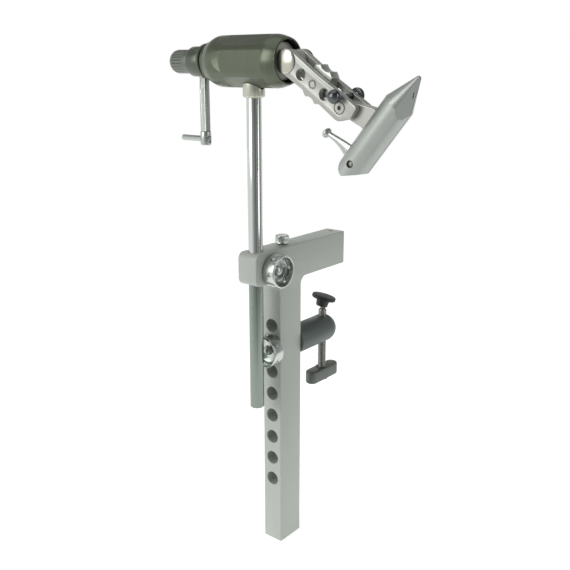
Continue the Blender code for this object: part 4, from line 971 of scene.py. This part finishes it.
def makeJaws():
    size, place = jaws, jawPlace
    radius = size["radius"]
    pivot = place.inverted() @ linkEnd
    profile = [(0, size["tip"]), (size["tipRadius"] - 0.3, size["tip"]), (size["tipRadius"], size["tip"] - 0.35),
               (radius, size["taperStart"]), (radius, size["stockFoot"]), (0, size["stockFoot"])]
    heelCentre = (size["pinAcross"], size["pinAlong"])
    across = radius + 3
    foot = size["pinAlong"] - size["heelRadius"]
    outline = arcPoints(heelCentre, size["heelRadius"], 180, 270, 24) + [
        (across, foot + across - size["pinAcross"]), (across, throughAll), (-radius - 0.1, throughAll)]
    low, high = size["tongueLow"] + pivot.z, size["tongueHigh"] + pivot.z
    surface, inside = -radius, -radius + size["bite"]
    slant = math.degrees(math.atan2((size["tongueLow"] + size["tongueHigh"]) / 2, surface - pivot.x))
    tongueOutline = arcPoints((pivot.x, pivot.z), size["tongueRoot"], slant + 90, slant + 270, 24) + [
        (surface - 0.6, low), (inside, low), (inside, high), (surface - 0.6, high)]

    def facetCutter():
        # A block whose face runs from the taper's first circle to the tip, as a ground flat.
        first, last = (Vector((radius * math.cos(math.radians(angle)), radius * math.sin(math.radians(angle)),
                               size["taperStart"])) for angle in (size["facetFrom"], size["facetTo"]))
        middle = (first + last) / 2
        tip = Vector((middle.x, middle.y, 0)).normalized() * size["tipRadius"] * size["facetShare"]
        tip.z = size["tip"]
        acrossFlat = (last - first).normalized()
        normal = acrossFlat.cross(tip - middle).normalized()
        form = blockForm((40, throughAll, 40), (0, 0, 20))
        form.transform(axesAt(middle, acrossFlat, normal))
        return form

    for name, node, body, side in (("nearJaw", "near_jaw", "near_jaw", -1), ("farJaw", "far_jaw", "jaw", 1)):
        jaw = asObject(name, spun(profile, 128), place)
        envelope = sheetForm([outline], throughAll, 0.01)
        envelope.transform(turnToFront)
        carve(jaw, [envelope], place, "INTERSECT")
        otherSide = blockForm((throughAll, 40, 160), (0, -side * (20 - size["split"] / 2), 20))
        slotEnd = size["pinAcross"] + size["slotAcross"]
        slot = blockForm((40, size["leverSlot"], size["slotLength"]),
                         (slotEnd - 20, 0, size["pinAlong"]))
        heel = size["heelSlot"]
        heelSlot = blockForm((heel, size["leverSlot"], heel),
                             (slotEnd - heel / 2, 0, size["pinAlong"] - heel / 2))
        recess = rodForm(size["pinRecess"], 40, place.inverted() @ crossPinPlace, 48)
        pocket = rodForm(size["pocket"], size["pocketLength"],
                         at(0, 0, size["pocketAlong"], turnToFront), 40)
        cuts = [otherSide, slot, heelSlot, recess, pocket]
        if side < 0:
            cuts += [blockForm((6, size["tipSlotWidth"], size["tipSlotLength"]),
                               (size["tipSlotAcross"], size["tipSlotY"], size["tipSlotAlong"])), facetCutter()]
        carve(jaw, cuts, place)
        if side > 0:
            tongue = sheetForm([tongueOutline], 2 * size["tongueHalf"], size["tongueEdge"])
            tongue.transform(turnToFront)
            carve(jaw, [tongue], place, "UNION")
            carve(jaw, [rodForm(size["pivotBore"], throughAll / 2,
                                at(pivot.x, 0, pivot.z, turnToFront), 40)], place)
        else:
            notch = blockForm((2 * (size["bite"] + 0.5), 2 * (size["tongueHalf"] + 0.5), high - low + 1.0),
                              (surface, 0, (low + high) / 2))
            carve(jaw, [notch], place)
        softenEdges(jaw, size["edge"], 2, 40)
        finishPiece(jaw, body, [node], "steel", 14)
        if side > 0:
            jaw.data.materials.append(finishes["plate"])
            back = place.inverted()
            for face in jaw.data.polygons:
                if (back @ (face.center / metresPerMm)).x < surface + 0.2:
                    face.material_index = 1

    print("jaws")


def makeCrossPin():
    radius, reach = jaws["pinRadius"], jaws["radius"] - 0.5
    dome = [(0, reach), (radius * 0.5, reach - 0.12), (radius * 0.85, reach - 0.45), (radius, reach - 0.9),
            (radius, 0)]
    profile = dome + [(across, -height) for across, height in dome[-2::-1]]
    turnedPiece("crossPin", profile, 40, crossPinPlace, "jaw", ["cross_pin"], "screw")
    print("cross pin")


lever = {"reach": 22.4, "rise": 15.6, "hub": 4.2, "hubStart": 0.55, "hubHalf": 1.2, "hubEdge": 0.2,
         "bore": 2.05, "halfThick": 1.5, "halfWide": 1.6, "flare": 4.6, "flarePower": 1.8, "bow": -1.5,
         "bowSpan": 0.9, "armLess": 2.2, "buttonLess": 0.4, "rings": 30, "around": 28,
         "button": ((0, 1.3), (1.3, 1.4), (2.3, 1.15), (2.95, 0.45), (3.1, -0.25), (2.85, -0.95), (2.2, -1.6),
                    (1.5, -2.3), (0, -2.4))}


def makeLever():
    # a flat cam between the jaws, drawn into a round arm that ends in a button
    size, hub = lever, lever["hub"]
    length = math.hypot(size["reach"], size["rise"])
    along = Vector((-size["reach"], 0, size["rise"])).normalized()
    place = axesAt(crossPinPlace.translation, along, along.cross(Vector((0, 1, 0))))
    start = hub * size["hubStart"]
    form = bmesh.new()
    rings = []
    for index in range(size["rings"] + 1):
        share = index / size["rings"]
        outward = start + (length - size["armLess"] - start) * share
        wide = size["halfWide"] + size["flare"] * (1 - share) ** size["flarePower"]
        bow = size["bow"] * math.sin(math.pi * share * size["bowSpan"])
        rings.append(bmesh.ops.create_circle(form, cap_ends=False, segments=size["around"], radius=1,
                                             matrix=at(outward, 0, bow, turnToX)
                                             @ Matrix.Diagonal((wide, size["halfThick"], 1, 1)))["verts"])
    for first, second in zip(rings, rings[1:]):
        edges = [edge for ring in (first, second) for edge in {e for v in ring for e in v.link_edges}
                 if all(v in ring for v in edge.verts)]
        bmesh.ops.bridge_loops(form, edges=edges)
    bmesh.ops.holes_fill(form, edges=[edge for edge in form.edges if edge.is_boundary], sides=0)
    bmesh.ops.recalc_face_normals(form, faces=form.faces)
    piece = asObject("camLever", form, place)
    cam = spun(rodProfile(hub, size["hubHalf"], -size["hubHalf"], size["hubEdge"]), 56)
    cam.transform(turnToFront)
    button = spun(size["button"], 40)
    button.transform(at(length - size["buttonLess"], 0, 0, turnToX))
    carve(piece, [cam, button], place, "UNION")
    carve(piece, [rodForm(size["bore"], 20, turnToFront, 40)], place)
    finishPiece(piece, "cam_lever", ["cam_lever"], "satin", 40)
    print("lever")


def dressCadNodes():
    # Pieces that keep their CAD shape get a finish of their own.
    plain = {"screw_bush": "arm", "handle_cross_pin": "screw", "collar_set_screw": "nut",
             "front_bush": "bronze", "rear_bush": "bronze", "thrust_washer": "plate", "hub_set_screw": "nut",
             "drag_spring": "screw", "jaw_spring": "screw"}
    for node, finish in plain.items():
        mesh = frame["nodes"][node].data
        mesh.materials.clear()
        mesh.materials.append(finishes[finish])


makeClamp()
makeClampFittings()
makeThumbscrew()
makeClampScrew()
makePad()
makeHead()
makeStem()
makeRearStack()
makeDragKnob()
makeCrank()
makeSpindle()
makePlates()
makePivot()
makeWheel()
makeLinkFasteners()
makeJaws()
makeCrossPin()
makeLever()
dressCadNodes()


# Floor, light and camera. Lengths here are in metres.
studio = {"floor": (0.93, 0.93, 0.93), "floorDrop": 0.0004, "floorRadius": 0.95, "floorShift": (-0.44, 0.54),
          "floorGlow": 0.62, "dimSide": (0.98, -0.20, 0.05), "backdrop": 1.0, "room": 0.30, "turnFrom": -0.20,
          "turnTo": 0.70, "stripe": (0.78, -0.62, 0), "frontFrom": 0.1, "frontTo": 0.4,
          "stripeDepth": 0.85, "stripeFrom": 0.03, "stripeTo": 0.10,
          "ceiling": 0.30, "ceilingFrom": 0.12, "ceilingTo": 0.62,
          "lift": 0.9, "liftFrom": -0.30, "liftTo": -0.46}


def makeFloor():
    floorZ = cadBounds[0][2] - studio["floorDrop"]
    mesh = bpy.data.meshes.new("studioFloor")
    form = bmesh.new()
    bmesh.ops.create_circle(form, cap_ends=True, segments=96, radius=studio["floorRadius"],
                            matrix=Matrix.Translation((*studio["floorShift"], floorZ)))
    form.to_mesh(mesh)
    form.free()
    floor = bpy.data.objects.new("studioFloor", mesh)
    bpy.context.scene.collection.objects.link(floor)
    bench = Bench("paleFloor", 0.9, 0.0)
    bench.shader.inputs["Base Color"].default_value = (*studio["floor"], 1)
    bench.shader.inputs["Emission Color"].default_value = (1, 1, 1, 1)
    bench.shader.inputs["Emission Strength"].default_value = studio["floorGlow"]
    mesh.materials.append(bench.material)

    print("floor laid")


def makeWorld():
    # a white sweep behind the object, a dim room and ceiling, a pale patch low on the right, and one dark
    # upright stripe for the polished parts to reflect
    world = bpy.data.worlds.new("softStudio")
    bpy.context.scene.world = world
    world.use_nodes = True
    nodes, links = world.node_tree.nodes, world.node_tree.links
    direction = nodes.new("ShaderNodeTexCoord").outputs["Generated"]

    def along(axis):
        dot = nodes.new("ShaderNodeVectorMath")
        dot.operation = "DOT_PRODUCT"
        dot.inputs[1].default_value = axis
        links.new(direction, dot.inputs[0])
        return dot.outputs["Value"]

    def faded(value, start, end, first, last):
        fade = nodes.new("ShaderNodeMapRange")
        fade.interpolation_type = "SMOOTHSTEP"
        for socket, number in (("From Min", start), ("From Max", end), ("To Min", first), ("To Max", last)):
            fade.inputs[socket].default_value = number
        links.new(value, fade.inputs["Value"])
        return fade.outputs["Result"]

    def combined(operation, first, second=None):
        maths = nodes.new("ShaderNodeMath")
        maths.operation = operation
        links.new(first, maths.inputs[0])
        if second:
            links.new(second, maths.inputs[1])
        return maths.outputs["Value"]

    stripe = Vector(studio["stripe"])
    across = stripe.cross(Vector((0, 0, 1)))
    outside = faded(combined("ABSOLUTE", along(across)), studio["stripeFrom"], studio["stripeTo"],
                    1 - studio["stripeDepth"], 1)
    behind = faded(along(stripe), studio["frontFrom"], studio["frontTo"], 1, 0)
    room = faded(along(studio["dimSide"]), studio["turnFrom"], studio["turnTo"], studio["backdrop"],
                 studio["room"])
    upright = (0, 0, 1)
    ceiling = faded(along(upright), studio["ceilingFrom"], studio["ceilingTo"], 1, studio["ceiling"])
    lifted = combined("MAXIMUM", combined("MULTIPLY", room, ceiling),
                      faded(along(upright), studio["liftFrom"], studio["liftTo"], 0, studio["lift"]))
    links.new(combined("MULTIPLY", lifted, combined("MAXIMUM", outside, behind)),
              nodes["Background"].inputs["Strength"])
    nodes["Background"].inputs["Color"].default_value = (1, 1, 1, 1)

    bpy.context.scene.view_settings.view_transform = "Standard"
    print("world painted")


def makeLights():
    for name, place, size, energy in (("keySoftbox", (-0.55, -1.6, 0.75), (0.9, 1.3), 13),
                                      ("sideSoftbox", (1.6, 0.25, 0.45), (0.6, 1.5), 6),
                                      ("topSoftbox", (-0.2, -0.2, 1.7), (1.6, 1.6), 6)):
        light = bpy.data.lights.new(name, "AREA")
        light.shape = "RECTANGLE"
        light.size, light.size_y = size
        light.energy = energy
        lamp = bpy.data.objects.new(name, light)
        lamp.location = place
        lamp.rotation_euler = (-Vector(place)).to_track_quat("-Z", "Y").to_euler()
        bpy.context.scene.collection.objects.link(lamp)


viewpoint = {"place": (0.31798, -0.43457, 0.13906), "down": 16.02, "heading": 39.13, "lens": 48.35, "film": 36}


def makeCamera():
    camera = bpy.data.cameras.new("photoCamera")
    camera.sensor_width, camera.lens = viewpoint["film"], viewpoint["lens"]
    holder = bpy.data.objects.new("photoCamera", camera)
    holder.location = viewpoint["place"]
    holder.rotation_euler = (math.radians(90 - viewpoint["down"]), 0, math.radians(viewpoint["heading"]))
    bpy.context.scene.collection.objects.link(holder)
    bpy.context.scene.camera = holder


makeFloor()
makeWorld()
makeLights()
makeCamera()
print("lights and camera set")
